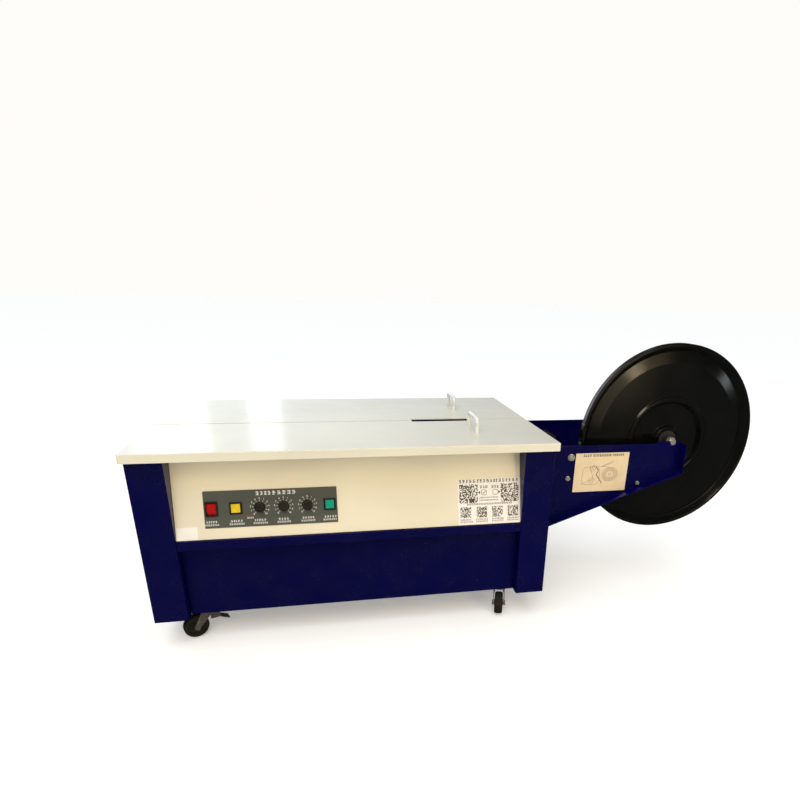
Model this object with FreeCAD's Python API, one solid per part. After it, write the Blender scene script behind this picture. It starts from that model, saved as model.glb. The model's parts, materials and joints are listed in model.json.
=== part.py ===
import FreeCAD
import Part

import itertools
import math
import os

# Semi-automatic strapping machine with a low table, four castors and a reel arm on its right.
# Millimetres, +Z up. The machine faces -Y. The origin is on the floor, under the centre of the box
# round the whole machine, reel included.
#
# Places are given as distances that a fitter would measure: "along" from the table's left edge,
# "back" from the table's front edge, and "down" from the table's top. place() turns them into
# the part's frame.

# ---- driving dimensions --------------------------------------------------------------------

# Table: two hinged pressed-steel plates that meet at a seam, with the strap slot in the seam.
TABLE_LENGTH = 895.0
TABLE_DEPTH = 565.0
TABLE_HEIGHT = 450.0
TABLE_SHEET = 2.0
TABLE_LIP = 18.0
TABLE_CORNER = 4.0
SEAM_BACK = 258.0
SEAM_GAP = 4.0
SEAM_FLANGE = 8.0
FLANGE_RELIEF = 6.0
SLOT_START = 597.0
SLOT_END = 740.0
SLOT_WIDTH = 28.0

# Table hinges: a pin behind each end of each outer lip.
HINGE_BACK = 8.0
HINGE_DOWN = 9.0
HINGE_ALONG = 40.0
HINGE_PIN_RADIUS = 2.5
HINGE_EAR_RADIUS = 4.0
HINGE_EAR_WIDTH = 10.0
HINGE_LUG_WIDTH = 8.0

# Package stops: round bar bent to a low hoop, one on each plate.
STOP_ALONG = 731.0
STOP_FRONT_CENTRE = 158.0
STOP_REAR_CENTRE = 421.0
STOP_SPAN = 84.0
STOP_HEIGHT = 36.0
STOP_BAR_RADIUS = 4.5
STOP_BEND = 14.0
STOP_NUT_FLATS = 14.0
STOP_NUT_HEIGHT = 4.5
STOP_LEG_DOWN = 7.5

# Cabinet.
SHEET = 1.5
SIDE_OVERHANG = 3.0
FRONT_OVERHANG = 20.0
COLUMN_WIDTH = 70.0
COLUMN_RETURN = 60.0
CABINET_BOTTOM = 382.0
FOLD_RADIUS = 2.0
FIT_GAP = 0.5

# Front of the cabinet, from the top: sloping control panel, rail, set-back lower panel.
CONTROL_BOTTOM = 194.0
CONTROL_SET_BACK = 5.0
CONTROL_TILT = 14.1
CONTROL_TOP = 19.0
RAIL_HEIGHT = 22.0
LOWER_SET_BACK = 26.0
LOWER_FOLD = 6.0
REAR_SET_IN = 4.0
REAR_FOLD = 8.0
FRAME_TUBE = 20.0

# Control plate and what stands on it, in the sloping panel's own plane: across from the table's
# left edge, and up the slope from the panel's lower edge.
PLATE_LEFT = 132.0
PLATE_WIDTH = 272.0
PLATE_LOW = 23.5
PLATE_HEIGHT = 78.0
PLATE_THICKNESS = 1.2
CONTROL_ROW = 64.0
SWITCH_ACROSS = 147.2
RESET_ACROSS = 195.5
KNOBS_ACROSS = {"feed_length_knob": 243.3, "tension_knob": 292.1, "cooling_time_knob": 341.4}
FEED_ACROSS = 388.0
SWITCH_SLEEVE = (21.0, 27.0)
BUTTON_SLEEVE = (21.0, 21.0)
SLEEVE_DEPTH = 22.0
BEZEL_RIM = 2.4
BUTTON_CAP = 18.2
BEZEL_HEIGHT = 2.5
ROCKER_TILT = 8.0
ROCKER_PIVOT_OUT = -3.0
KNOB_RADIUS = 11.0
KNOB_HEIGHT = 15.0
KNOB_FLUTES = 12
POT_SHAFT_RADIUS = 3.0
POT_NECK_RADIUS = 4.0
POT_DEPTH = 12.0
SCREWS_ACROSS = (134.0, 341.0, 547.0, 753.0)
SCREWS_BELOW_TOP = 7.0
SCREW_SHANK = 2.0
SCREW_LENGTH = 8.0
SCREW_HEAD = 3.4
SCREW_CROSS = (0.9, 3.8, 1.0)

# Base and castors.
CASTOR_HEIGHT = 70.0
CASTOR_PLATE = 48.0
CASTOR_BOLT_HALF = 18.0
TRAY_SHEET = 2.5
TRAY_WALL = 25.0
TRAY_ROOM = 8.0
SWIVEL_ALONG = 98.0
SWIVEL_BACK = 78.0
# name: (along, back, heading). The heading is where the wheel trails, in degrees from +X.
CASTORS = {
    "front_left": (SWIVEL_ALONG, SWIVEL_BACK, 205.0),
    "front_right": (TABLE_LENGTH - SWIVEL_ALONG, SWIVEL_BACK, 253.0),
    "rear_left": (SWIVEL_ALONG, TABLE_DEPTH - SWIVEL_BACK, 160.0),
    "rear_right": (TABLE_LENGTH - SWIVEL_ALONG, TABLE_DEPTH - SWIVEL_BACK, 215.0),
}
CASTOR_TRAIL = 27.0
WHEEL_RADIUS = 27.5
WHEEL_WIDTH = 20.0
FORK_SHEET = 2.5
FORK_INSIDE = 24.0
FORK_CROWN_TOP = 62.0
KINGPIN_RADIUS = 6.0
PEDAL_PIVOT_AHEAD = -21.0
PEDAL_PIVOT_HEIGHT = 44.0
PEDAL_PIN_RADIUS = 2.5
PEDAL_PIN_HALF = 13.5
PEDAL_WIDTH = 20.0
PEDAL_EAR_LENGTH = 21.0
WHEEL_AXLE_RADIUS = 4.0
RUNNING = 0.05

# Reel arm: two flanged side plates on the cabinet's right side.
ARM_SHEET = 2.5
ARM_FRONT_BACK = 84.0
ARM_REAR_BACK = 369.0
ARM_TIP = 1251.0
ARM_TOP_DOWN = 30.0
ARM_TIP_DOWN = 103.0
ARM_ROOT_DOWN = 231.0
ARM_FLANGE = 26.0
ARM_SADDLE_HALF = 42.0
SADDLE_RISE = 5.0
SADDLE_DEPTH = 40.0
CROSS_SHAFTS = {"upper": (958.8, 58.0), "lower": (954.8, 110.4)}
BOLTS_AT = {**CROSS_SHAFTS, "outer": (1143.2, 129.2)}
BOLT_REACH = 9.0
# name: (thread radius, head across flats, washer radius)
ARM_BOLTS = {"upper": (4.0, 13.0, 8.5), "lower": (3.0, 10.0, 6.0), "outer": (2.5, 8.0, 4.8)}
SHAFT_RADIUS = 7.0
ROLLER_RADIUS = 17.0
ROLLER_WIDTH = 40.0
ROLLER_FLANGE = 22.0

# Reel: two pressed discs on a hub tube that runs on the axle. With no coil on it the rear disc is
# pushed up to the front one. It slides back along the tube to take a coil.
REEL_ALONG = 1226.0
REEL_DOWN = 28.0
REEL_RADIUS = 233.0
REEL_FRONT_BACK = 110.0
REEL_SKIRT = 17.0
REEL_SHEET = 1.6
REAR_DISC_RADIUS = 217.0
HUB_RADIUS = 24.0
HUB_BORE = 19.0
HUB_LENGTH = 221.0
BUSH_FLANGE = 3.0
BUSH_BOSS = 13.0
BUSH_BOSS_LENGTH = 11.0
AXLE_RADIUS = 7.0
AXLE_NUT_FLATS = 19.0
NUT_HEIGHT = 12.0

# Sealing head under the slot: one camshaft lifts three rams.
HEAD_ALONG = 668.5
RAM_PITCH = 33.0
RAM_WIDTH = 24.0
RAM_DEPTH = 30.0
RAM_TOP_DOWN = 20.0
CAMSHAFT_DOWN = 120.0
CAMSHAFT_RADIUS = 10.0
CAM_RADIUS = 24.0
CAM_THROW = 6.0
CAM_WIDTH = 14.0
HEAD_PLATE = 5.0
HEAD_HALF_LENGTH = 58.0
GEARBOX_SIZE = 84.0

# Strap feed, where the strap comes in from the arm.
FEED_ALONG = 786.0
FEED_DOWN = 92.0
FEED_ROLLER_RADIUS = 24.0
PINCH_ROLLER_RADIUS = 12.0
FEED_WIDTH = 16.0
FEED_SHAFT_RADIUS = 6.0
PINCH_SHAFT_RADIUS = 4.0
STRAP_THICKNESS = 0.6
STRAP_WINDOW_WIDTH = 70.0
STRAP_WINDOW_HEIGHT = 60.0

# Cooling slots and cable gland in the back.
VENTS_ALONG = (163.0, 632.0)
VENT_LENGTH = 100.0
VENT_ROWS = 7
VENT_TOP_DOWN = 120.0
VENT_PITCH = 14.0
VENT_HEIGHT = 4.0
GLAND_ALONG = 760.0
GLAND_DOWN = 320.0
GLAND_THREAD = 8.0
GLAND_BORE = 4.0

# ---- derived places ------------------------------------------------------------------------

TOTAL_LENGTH = REEL_ALONG + REEL_RADIUS
LEFT = -TOTAL_LENGTH / 2
FRONT = -TABLE_DEPTH / 2
CABINET_LEFT = SIDE_OVERHANG
CABINET_RIGHT = TABLE_LENGTH - SIDE_OVERHANG
CABINET_FRONT = FRONT_OVERHANG
CABINET_BACK = TABLE_DEPTH - FRONT_OVERHANG
BAY_LEFT = CABINET_LEFT + COLUMN_WIDTH
BAY_RIGHT = CABINET_RIGHT - COLUMN_WIDTH
BASE_DOWN = TABLE_HEIGHT - CASTOR_HEIGHT
TRAY_TOP_DOWN = BASE_DOWN - TRAY_SHEET
PINCH_DOWN = FEED_DOWN - FEED_ROLLER_RADIUS - PINCH_ROLLER_RADIUS - STRAP_THICKNESS

X = FreeCAD.Vector(1, 0, 0)
Y = FreeCAD.Vector(0, 1, 0)
Z = FreeCAD.Vector(0, 0, 1)


# ---- helpers -------------------------------------------------------------------------------

def place(along, back, down):
    """A point given from the table's left edge, front edge and top."""
    return FreeCAD.Vector(LEFT + along, FRONT + back, TABLE_HEIGHT - down)


def block(along, back, down):
    """A box between pairs of distances along, back and down."""
    corner = place(along[0], back[0], down[1])
    return Part.makeBox(along[1] - along[0], back[1] - back[0], down[1] - down[0], corner)


def rod(along, back, down, radius, length, axis):
    """A cylinder that starts at a point and runs along an axis."""
    return Part.makeCylinder(radius, length, place(along, back, down), axis)


def union(shapes):
    """One solid from several that touch."""
    return shapes[0].multiFuse(shapes[1:]).removeSplitter() if len(shapes) > 1 else shapes[0]


def rounded_wire(points, radius, closed):
    """Straight runs through points, with an arc of one radius at each corner."""
    points = [FreeCAD.Vector(p) for p in points]
    count = len(points)
    corners = range(count) if closed else range(1, count - 1)
    entry = {}
    leave = {}
    arcs = {}
    for i in corners:
        before = (points[i - 1] - points[i]).normalize()
        after = (points[(i + 1) % count] - points[i]).normalize()
        half = before.getAngle(after) / 2
        reach = radius / math.tan(half)
        middle = (before + after).normalize()
        entry[i] = points[i] + before * reach
        leave[i] = points[i] + after * reach
        top = points[i] + middle * (radius / math.sin(half) - radius)
        arcs[i] = Part.Arc(entry[i], top, leave[i]).toShape()
    edges = []
    last = count if closed else count - 1
    for i in range(last):
        following = (i + 1) % count
        start = leave.get(i, points[i])
        end = entry.get(following, points[following])
        if (end - start).Length > 1e-6:
            edges.append(Part.makeLine(start, end))
        if following in arcs:
            edges.append(arcs[following])
    return Part.Wire(Part.__sortEdges__(edges))


def sheet_strip(points, thickness, radius):
    """The cross-section of folded sheet: one face along points, with the thickness to one side."""
    path = rounded_wire(points, radius, closed=False)
    return path.makeOffset2D(thickness, fill=True, openResult=True)


def revolve_about_reel(points, thickness, radius):
    """Pressed sheet turned about the reel's axis. Points are (radius, distance behind the rim)."""
    centre = place(REEL_ALONG, REEL_FRONT_BACK, REEL_DOWN)
    outline = [FreeCAD.Vector(r, depth, 0) for r, depth in points]
    face = sheet_strip(outline, -thickness, radius)
    disc = face.revolve(FreeCAD.Vector(), Y, 360)
    disc.translate(centre)
    return disc


def on_slope(shape, across, up, out=0.0):
    """Stand a shape on the sloping control panel: its XY plane on the panel and +Z outwards."""
    tilt = math.radians(CONTROL_TILT)
    base = place(across, CABINET_FRONT + CONTROL_SET_BACK, CONTROL_BOTTOM)
    up_slope = FreeCAD.Vector(0, math.sin(tilt), math.cos(tilt))
    outward = FreeCAD.Vector(0, -math.cos(tilt), math.sin(tilt))
    turn = FreeCAD.Rotation(X, 90 - CONTROL_TILT)
    placed = shape.copy()
    stand = FreeCAD.Placement(base + up_slope * up + outward * out, turn)
    placed.Placement = stand.multiply(placed.Placement)
    return placed


def centred_box(width, height, depth, low=0.0):
    """A box centred on the Z axis from a low Z."""
    return Part.makeBox(width, height, depth, FreeCAD.Vector(-width / 2, -height / 2, low))


def hexagon(across_flats, height, centre, axis):
    """A hexagonal prism on a centre point."""
    radius = across_flats / math.sqrt(3)
    corner = FreeCAD.Vector(radius, 0, 0)
    points = [FreeCAD.Rotation(Z, 60 * i).multVec(corner) for i in range(6)]
    prism = Part.Face(Part.makePolygon(points + points[:1])).extrude(Z * height)
    prism.Placement = FreeCAD.Placement(centre, FreeCAD.Rotation(Z, axis))
    return prism


def vertical_edges(shape):
    """Edges of a shape that run along Z."""
    found = []
    for edge in shape.Edges:
        direction = edge.Vertexes[-1].Point - edge.Vertexes[0].Point
        if direction.Length > 1e-6 and abs(direction.normalize().z) > 0.999:
            found.append(edge)
    return found


def mirrored_fore_and_aft(shape):
    """The same shape on the other side of the table's middle plane."""
    return shape.mirror(FreeCAD.Vector(), Y)


# ---- table ---------------------------------------------------------------------------------

def table_plate(depth):
    """A pressed table plate as if it were the front one: top, three lips, seam flange and slot."""
    outer = block((0, TABLE_LENGTH), (0, depth), (0, TABLE_LIP))
    seam_y = FRONT + depth
    corners = [e for e in vertical_edges(outer) if e.Vertexes[0].Point.y < seam_y - 1]
    outer = outer.makeFillet(TABLE_CORNER, corners)
    top_edges = [e for e in outer.Edges if e.BoundBox.ZMin > TABLE_HEIGHT - 0.01]
    rim = [e for e in top_edges if e.BoundBox.YMin < seam_y - 1]
    outer = outer.makeFillet(TABLE_SHEET - 0.4, rim)
    inner = block(
        (TABLE_SHEET, TABLE_LENGTH - TABLE_SHEET),
        (TABLE_SHEET, depth - TABLE_SHEET),
        (TABLE_SHEET, TABLE_LIP),
    )
    inner_corners = [e for e in vertical_edges(inner) if e.Vertexes[0].Point.y < seam_y - 10]
    inner = inner.makeFillet(TABLE_CORNER - TABLE_SHEET, inner_corners)
    under_flange = block(
        (TABLE_SHEET, TABLE_LENGTH - TABLE_SHEET),
        (depth - 2 * TABLE_SHEET, depth),
        (SEAM_FLANGE, TABLE_LIP),
    )
    slot = block(
        (SLOT_START, SLOT_END),
        (depth - (SLOT_WIDTH - SEAM_GAP) / 2, depth),
        (0, TABLE_LIP),
    )
    plate = outer.cut(inner.fuse(under_flange)).cut(slot)
    for start in (TABLE_SHEET, TABLE_LENGTH - TABLE_SHEET - FLANGE_RELIEF):
        relief = (start, start + FLANGE_RELIEF)
        plate = plate.cut(block(relief, (depth - 2 * TABLE_SHEET, depth), (TABLE_SHEET, TABLE_LIP)))
    return plate.fuse(hinge_lugs()).removeSplitter()


def hinge_lugs():
    """The two lugs that hang from the plate and turn on the hinge pins."""
    lugs = []
    for side, first in ((-1, HINGE_ALONG), (1, TABLE_LENGTH - HINGE_ALONG)):
        start = first + side * (HINGE_EAR_WIDTH / 2 + FIT_GAP)
        low, high = sorted((start, start + side * HINGE_LUG_WIDTH))
        plate_part = block(
            (low, high),
            (HINGE_BACK - HINGE_EAR_RADIUS, HINGE_BACK + HINGE_EAR_RADIUS),
            (TABLE_SHEET, HINGE_DOWN),
        )
        eye = rod(low, HINGE_BACK, HINGE_DOWN, HINGE_EAR_RADIUS, HINGE_LUG_WIDTH, X)
        hole = rod(low - 1, HINGE_BACK, HINGE_DOWN, HINGE_PIN_RADIUS + RUNNING, HINGE_LUG_WIDTH + 2, X)
        lugs.append(plate_part.fuse(eye).cut(hole))
    return lugs


def stop_feet(centre):
    """Distances back of a package stop's two legs."""
    return centre - STOP_SPAN / 2, centre + STOP_SPAN / 2


def with_stop_holes(plate, centre):
    """A table plate with the two holes that a package stop's legs go through."""
    for foot in stop_feet(centre):
        plate = plate.cut(rod(STOP_ALONG, foot, 2 * TABLE_SHEET, STOP_BAR_RADIUS + RUNNING, 10, Z))
    return plate


def front_table_plate():
    return with_stop_holes(table_plate(SEAM_BACK - SEAM_GAP / 2), STOP_FRONT_CENTRE)


def rear_table_plate():
    plate = mirrored_fore_and_aft(table_plate(TABLE_DEPTH - SEAM_BACK - SEAM_GAP / 2))
    return with_stop_holes(plate, STOP_REAR_CENTRE)


def left_hinge_ears():
    """The ears on the left columns that hold the hinge pins, behind the table's lips."""
    span = (HINGE_ALONG - HINGE_EAR_WIDTH / 2, HINGE_ALONG + HINGE_EAR_WIDTH / 2)
    eye = rod(span[0], HINGE_BACK, HINGE_DOWN, HINGE_EAR_RADIUS, HINGE_EAR_WIDTH, X)
    leaf = block(span, (HINGE_BACK, CABINET_FRONT + SHEET), (HINGE_DOWN - 1.5, HINGE_DOWN + 1.5))
    hole = rod(span[0] - 1, HINGE_BACK, HINGE_DOWN, HINGE_PIN_RADIUS, HINGE_EAR_WIDTH + 2, X)
    ear = eye.fuse(leaf).cut(hole).removeSplitter()
    return [ear, mirrored_fore_and_aft(ear)]


def hinge_pins():
    """Four pins, each through an ear and the lug beside it."""
    length = HINGE_EAR_WIDTH + FIT_GAP + HINGE_LUG_WIDTH + 1
    left_start = HINGE_ALONG + HINGE_EAR_WIDTH / 2 - length
    right_start = TABLE_LENGTH - HINGE_ALONG - HINGE_EAR_WIDTH / 2
    pins = []
    for start in (left_start, right_start):
        pin = rod(start, HINGE_BACK, HINGE_DOWN, HINGE_PIN_RADIUS, length, X)
        pins += [pin, mirrored_fore_and_aft(pin)]
    return Part.makeCompound(pins)


def package_stop(centre):
    """A bent bar hoop in a plane across the strap, held by a nut on each leg under the plate."""
    front_foot, rear_foot = stop_feet(centre)
    crown = STOP_BAR_RADIUS - STOP_HEIGHT
    points = [
        place(STOP_ALONG, front_foot, STOP_LEG_DOWN),
        place(STOP_ALONG, front_foot, crown),
        place(STOP_ALONG, rear_foot, crown),
        place(STOP_ALONG, rear_foot, STOP_LEG_DOWN),
    ]
    path = rounded_wire(points, STOP_BEND, closed=False)
    section = Part.Wire(Part.makeCircle(STOP_BAR_RADIUS, points[0], Z))
    bar = path.makePipeShell([section], True, True)
    nuts = [
        hexagon(STOP_NUT_FLATS, STOP_NUT_HEIGHT, place(STOP_ALONG, foot, TABLE_SHEET), -Z)
        for foot in (front_foot, rear_foot)
    ]
    return union([bar] + nuts)


# ---- cabinet -------------------------------------------------------------------------------

def left_side_panel():
    """One folded sheet: the side, both corner columns and their returns, with welded hinge ears."""
    top = TABLE_SHEET + FIT_GAP
    points = [
        (BAY_LEFT, CABINET_FRONT + COLUMN_RETURN),
        (BAY_LEFT, CABINET_FRONT),
        (CABINET_LEFT, CABINET_FRONT),
        (CABINET_LEFT, CABINET_BACK),
        (BAY_LEFT, CABINET_BACK),
        (BAY_LEFT, CABINET_BACK - COLUMN_RETURN),
    ]
    outline = [place(along, back, CABINET_BOTTOM) for along, back in points]
    section = sheet_strip(outline, SHEET, FOLD_RADIUS)
    return union([section.extrude(Z * (CABINET_BOTTOM - top))] + left_hinge_ears())


def right_side_panel():
    """The mirror image of the left one, with a window where the strap comes in."""
    panel = left_side_panel().mirror(place(TABLE_LENGTH / 2, 0, 0), X)
    window = block(
        (CABINET_RIGHT - 2 * SHEET, CABINET_RIGHT + 1),
        (SEAM_BACK - STRAP_WINDOW_WIDTH / 2, SEAM_BACK + STRAP_WINDOW_WIDTH / 2),
        (ARM_TOP_DOWN + 20, ARM_TOP_DOWN + 20 + STRAP_WINDOW_HEIGHT),
    )
    return panel.cut(window)


def bay_profile(points):
    """Folded sheet that runs across the bay between the columns. Points are (back, down)."""
    outline = [place(BAY_LEFT + FIT_GAP, back, down) for back, down in points]
    section = sheet_strip(outline, SHEET, FOLD_RADIUS)
    return section.extrude(X * (BAY_RIGHT - BAY_LEFT - 2 * FIT_GAP))


def front_rail():
    """The channel across the front under the control panel."""
    top = CONTROL_BOTTOM + 1.0
    behind = CABINET_FRONT + LOWER_SET_BACK - FIT_GAP
    return bay_profile([
        (behind, top + RAIL_HEIGHT),
        (CABINET_FRONT, top + RAIL_HEIGHT),
        (CABINET_FRONT, top),
        (behind, top),
    ])


def lower_front_panel():
    """The set-back lower panel, folded in at its top and bottom edges."""
    front = CABINET_FRONT + LOWER_SET_BACK
    top = CONTROL_BOTTOM + 3.0
    return bay_profile([
        (front + LOWER_FOLD, CABINET_BOTTOM),
        (front, CABINET_BOTTOM),
        (front, top),
        (front + LOWER_FOLD, top),
    ])


def rear_panel():
    """The removable back, with two groups of cooling slots and a hole for the cable gland."""
    face = CABINET_BACK - REAR_SET_IN
    panel = bay_profile([
        (face - REAR_FOLD, TABLE_LIP + 8),
        (face, TABLE_LIP + 8),
        (face, CABINET_BOTTOM),
        (face - REAR_FOLD, CABINET_BOTTOM),
    ])
    for start in VENTS_ALONG:
        for row in range(VENT_ROWS):
            down = VENT_TOP_DOWN + row * VENT_PITCH
            slot = block((start, start + VENT_LENGTH), (face - 2 * SHEET, face), (down, down + VENT_HEIGHT))
            panel = panel.cut(slot)
    return panel.cut(rod(GLAND_ALONG, face - 2 * SHEET, GLAND_DOWN, GLAND_THREAD, 4 * SHEET, Y))


def cable_gland():
    """The gland that the mains lead comes through: threaded barrel, flange and nut."""
    back_face = CABINET_BACK - REAR_SET_IN
    barrel = rod(GLAND_ALONG, back_face - 14, GLAND_DOWN, GLAND_THREAD, 14, Y)
    flange = rod(GLAND_ALONG, back_face, GLAND_DOWN, 11, 5, Y)
    cone = Part.makeCone(10, 7, 11, place(GLAND_ALONG, back_face + 5, GLAND_DOWN), Y)
    nut = rod(GLAND_ALONG, back_face - 6, GLAND_DOWN, 11, 6 - SHEET, Y)
    hole = rod(GLAND_ALONG, back_face - 15, GLAND_DOWN, GLAND_BORE, 40, Y)
    return union([barrel, flange, cone, nut]).cut(hole)


def base_tray():
    """The floor of the cabinet: a pan with turned-up walls that the castors are bolted under."""
    along = (CABINET_LEFT + SHEET + FIT_GAP, CABINET_RIGHT - SHEET - FIT_GAP)
    back = (CABINET_FRONT + LOWER_SET_BACK + TRAY_ROOM, CABINET_BACK - REAR_SET_IN - REAR_FOLD - FIT_GAP)
    floor = block(along, back, (TRAY_TOP_DOWN, BASE_DOWN))
    walls = block(along, back, (TRAY_TOP_DOWN - TRAY_WALL, TRAY_TOP_DOWN))
    inside = block(
        (along[0] + TRAY_SHEET, along[1] - TRAY_SHEET),
        (back[0] + TRAY_SHEET, back[1] - TRAY_SHEET),
        (TRAY_TOP_DOWN - TRAY_WALL, TRAY_TOP_DOWN),
    )
    tray = floor.fuse(walls.cut(inside)).removeSplitter()
    front_corners = (0, CABINET_FRONT + COLUMN_RETURN + FIT_GAP)
    rear_corners = (CABINET_BACK - COLUMN_RETURN - FIT_GAP, TABLE_DEPTH)
    for corner_back in (front_corners, rear_corners):
        tray = tray.cut(block((0, BAY_LEFT + FIT_GAP), corner_back, (0, TABLE_HEIGHT)))
        tray = tray.cut(block((BAY_RIGHT - FIT_GAP, TABLE_LENGTH), corner_back, (0, TABLE_HEIGHT)))
    return tray


def top_frame():
    """The square-tube ring, welded to the columns, that the table plates close on."""
    along = (BAY_LEFT - SHEET, BAY_RIGHT + SHEET)
    back = (CABINET_FRONT + COLUMN_RETURN, CABINET_BACK - COLUMN_RETURN)
    down = (SEAM_FLANGE + 1, SEAM_FLANGE + 1 + FRAME_TUBE)
    ring = block(along, back, down)
    hole = block(
        (along[0] + FRAME_TUBE, along[1] - FRAME_TUBE),
        (back[0] + FRAME_TUBE, back[1] - FRAME_TUBE),
        down,
    )
    return ring.cut(hole)


# ---- control panel -------------------------------------------------------------------------

def slope_length():
    """The sloping panel's height, measured up the slope."""
    return (CONTROL_BOTTOM - CONTROL_TOP) / math.cos(math.radians(CONTROL_TILT))


def control_openings():
    """Square holes for the switch and the two push buttons, with a round one for each knob."""
    depth = 40.0
    holes = [on_slope(centred_box(*SWITCH_SLEEVE, depth, -depth / 2), SWITCH_ACROSS, CONTROL_ROW)]
    for across in (RESET_ACROSS, FEED_ACROSS):
        holes.append(on_slope(centred_box(*BUTTON_SLEEVE, depth, -depth / 2), across, CONTROL_ROW))
    neck_hole = Part.makeCylinder(POT_NECK_RADIUS, depth, FreeCAD.Vector(0, 0, -depth / 2))
    for across in KNOBS_ACROSS.values():
        holes.append(on_slope(neck_hole, across, CONTROL_ROW))
    return holes


def screw_holes():
    """Holes along the sloping panel's top edge."""
    hole = Part.makeCylinder(SCREW_SHANK, 2 * SCREW_LENGTH, FreeCAD.Vector(0, 0, -SCREW_LENGTH))
    return [on_slope(hole, across, slope_length() - SCREWS_BELOW_TOP) for across in SCREWS_ACROSS]


def control_panel():
    """The sloping cream panel, with its returns at top and bottom."""
    width = BAY_RIGHT - BAY_LEFT - 2 * FIT_GAP
    length = slope_length()
    face = Part.makeBox(width, length, SHEET, FreeCAD.Vector(0, 0, -SHEET))
    top_return = Part.makeBox(width, SHEET, 10, FreeCAD.Vector(0, length - SHEET, -10))
    bottom_return = Part.makeBox(width, SHEET, 2 * SHEET, FreeCAD.Vector(0, 0, -2 * SHEET))
    panel = union([face, top_return, bottom_return])
    panel = on_slope(panel, BAY_LEFT + FIT_GAP, 0)
    for hole in control_openings() + screw_holes():
        panel = panel.cut(hole)
    return panel


def control_plate():
    """The grey plate that carries the controls, stuck on the sloping panel."""
    plate = Part.makeBox(PLATE_WIDTH, PLATE_HEIGHT, PLATE_THICKNESS)
    plate = plate.makeFillet(1.5, vertical_edges(plate))
    plate = on_slope(plate, PLATE_LEFT, PLATE_LOW)
    for hole in control_openings():
        plate = plate.cut(hole)
    return plate


def panel_screws():
    """Four domed cross-recessed screws along the top of the sloping panel."""
    dome_drop = 2.4
    dome = Part.makeSphere(SCREW_HEAD + 0.8, FreeCAD.Vector(0, 0, -dome_drop))
    head = dome.common(Part.makeCylinder(SCREW_HEAD, SCREW_HEAD))
    shank = Part.makeCylinder(SCREW_SHANK, SCREW_LENGTH, FreeCAD.Vector(0, 0, -SCREW_LENGTH))
    width, length, depth = SCREW_CROSS
    recess_low = SCREW_HEAD + 0.8 - dome_drop - depth
    recess = centred_box(width, length, 2 * depth, recess_low)
    recess = recess.fuse(centred_box(length, width, 2 * depth, recess_low))
    screw = union([head, shank]).cut(recess)
    up = slope_length() - SCREWS_BELOW_TOP
    return Part.makeCompound([on_slope(screw, across, up) for across in SCREWS_ACROSS])


def bezel(sleeve_size, across):
    """A thin black frame with a closed sleeve that goes through the panel."""
    width, height = sleeve_size
    frame_top = PLATE_THICKNESS + BEZEL_HEIGHT
    frame = centred_box(width + 2 * BEZEL_RIM, height + 2 * BEZEL_RIM, BEZEL_HEIGHT, PLATE_THICKNESS)
    frame = frame.makeChamfer(0.8, [e for e in frame.Edges if e.BoundBox.ZMin > frame_top - 0.1])
    sleeve = centred_box(width, height, SLEEVE_DEPTH + PLATE_THICKNESS, -SLEEVE_DEPTH)
    opening = centred_box(width - 2, height - 2, 2 * SLEEVE_DEPTH, 1.5 - SLEEVE_DEPTH)
    return on_slope(frame.fuse(sleeve).cut(opening).removeSplitter(), across, CONTROL_ROW)


def power_switch_bezel():
    return bezel(SWITCH_SLEEVE, SWITCH_ACROSS)


def button_bezels():
    """Two identical frames, one round each push button."""
    return Part.makeCompound([bezel(BUTTON_SLEEVE, across) for across in (RESET_ACROSS, FEED_ACROSS)])


def power_rocker():
    """The rocker, at rest with its lower end pressed in. It turns about a line across the switch."""
    half = 11.4
    points = [
        FreeCAD.Vector(0, -half, -4),
        FreeCAD.Vector(0, -half, 5),
        FreeCAD.Vector(0, 0, 7.2),
        FreeCAD.Vector(0, half, 5),
        FreeCAD.Vector(0, half, -4),
    ]
    side = Part.Face(Part.makePolygon(points + points[:1]))
    rocker = side.extrude(X * BUTTON_CAP)
    rocker.translate(FreeCAD.Vector(-BUTTON_CAP / 2, 0, 0))
    rocker.rotate(FreeCAD.Vector(), X, ROCKER_TILT)
    return on_slope(rocker, SWITCH_ACROSS, CONTROL_ROW, ROCKER_PIVOT_OUT)


def push_button(across):
    """A square cap that slides in its sleeve."""
    cap = centred_box(BUTTON_CAP, BUTTON_CAP, 17, -9)
    cap = cap.makeFillet(1.2, [e for e in cap.Edges if e.BoundBox.ZMin > 7.9])
    return on_slope(cap, across, CONTROL_ROW)


def reset_button():
    return push_button(RESET_ACROSS)


def feed_button():
    return push_button(FEED_ACROSS)


def knob(across):
    """A round knob with a skirt, finger flutes and a pointer groove."""
    base = PLATE_THICKNESS + 0.8
    skirt = Part.makeCylinder(KNOB_RADIUS, 3, FreeCAD.Vector(0, 0, base))
    grip_base = FreeCAD.Vector(0, 0, base + 3)
    body = Part.makeCone(KNOB_RADIUS - 1.5, KNOB_RADIUS - 2.5, KNOB_HEIGHT - 3, grip_base)
    turned = skirt.fuse(body)
    for i in range(KNOB_FLUTES):
        angle = 2 * math.pi * (i + 0.5) / KNOB_FLUTES
        centre = FreeCAD.Vector(math.cos(angle), math.sin(angle), 0) * (KNOB_RADIUS + 0.2)
        centre.z = base + 4
        turned = turned.cut(Part.makeCylinder(2.2, KNOB_HEIGHT, centre))
    pointer = Part.makeBox(1.2, KNOB_RADIUS, 1.0, FreeCAD.Vector(-0.6, 0, base + KNOB_HEIGHT - 1.0))
    return on_slope(turned.cut(pointer), across, CONTROL_ROW)


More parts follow.
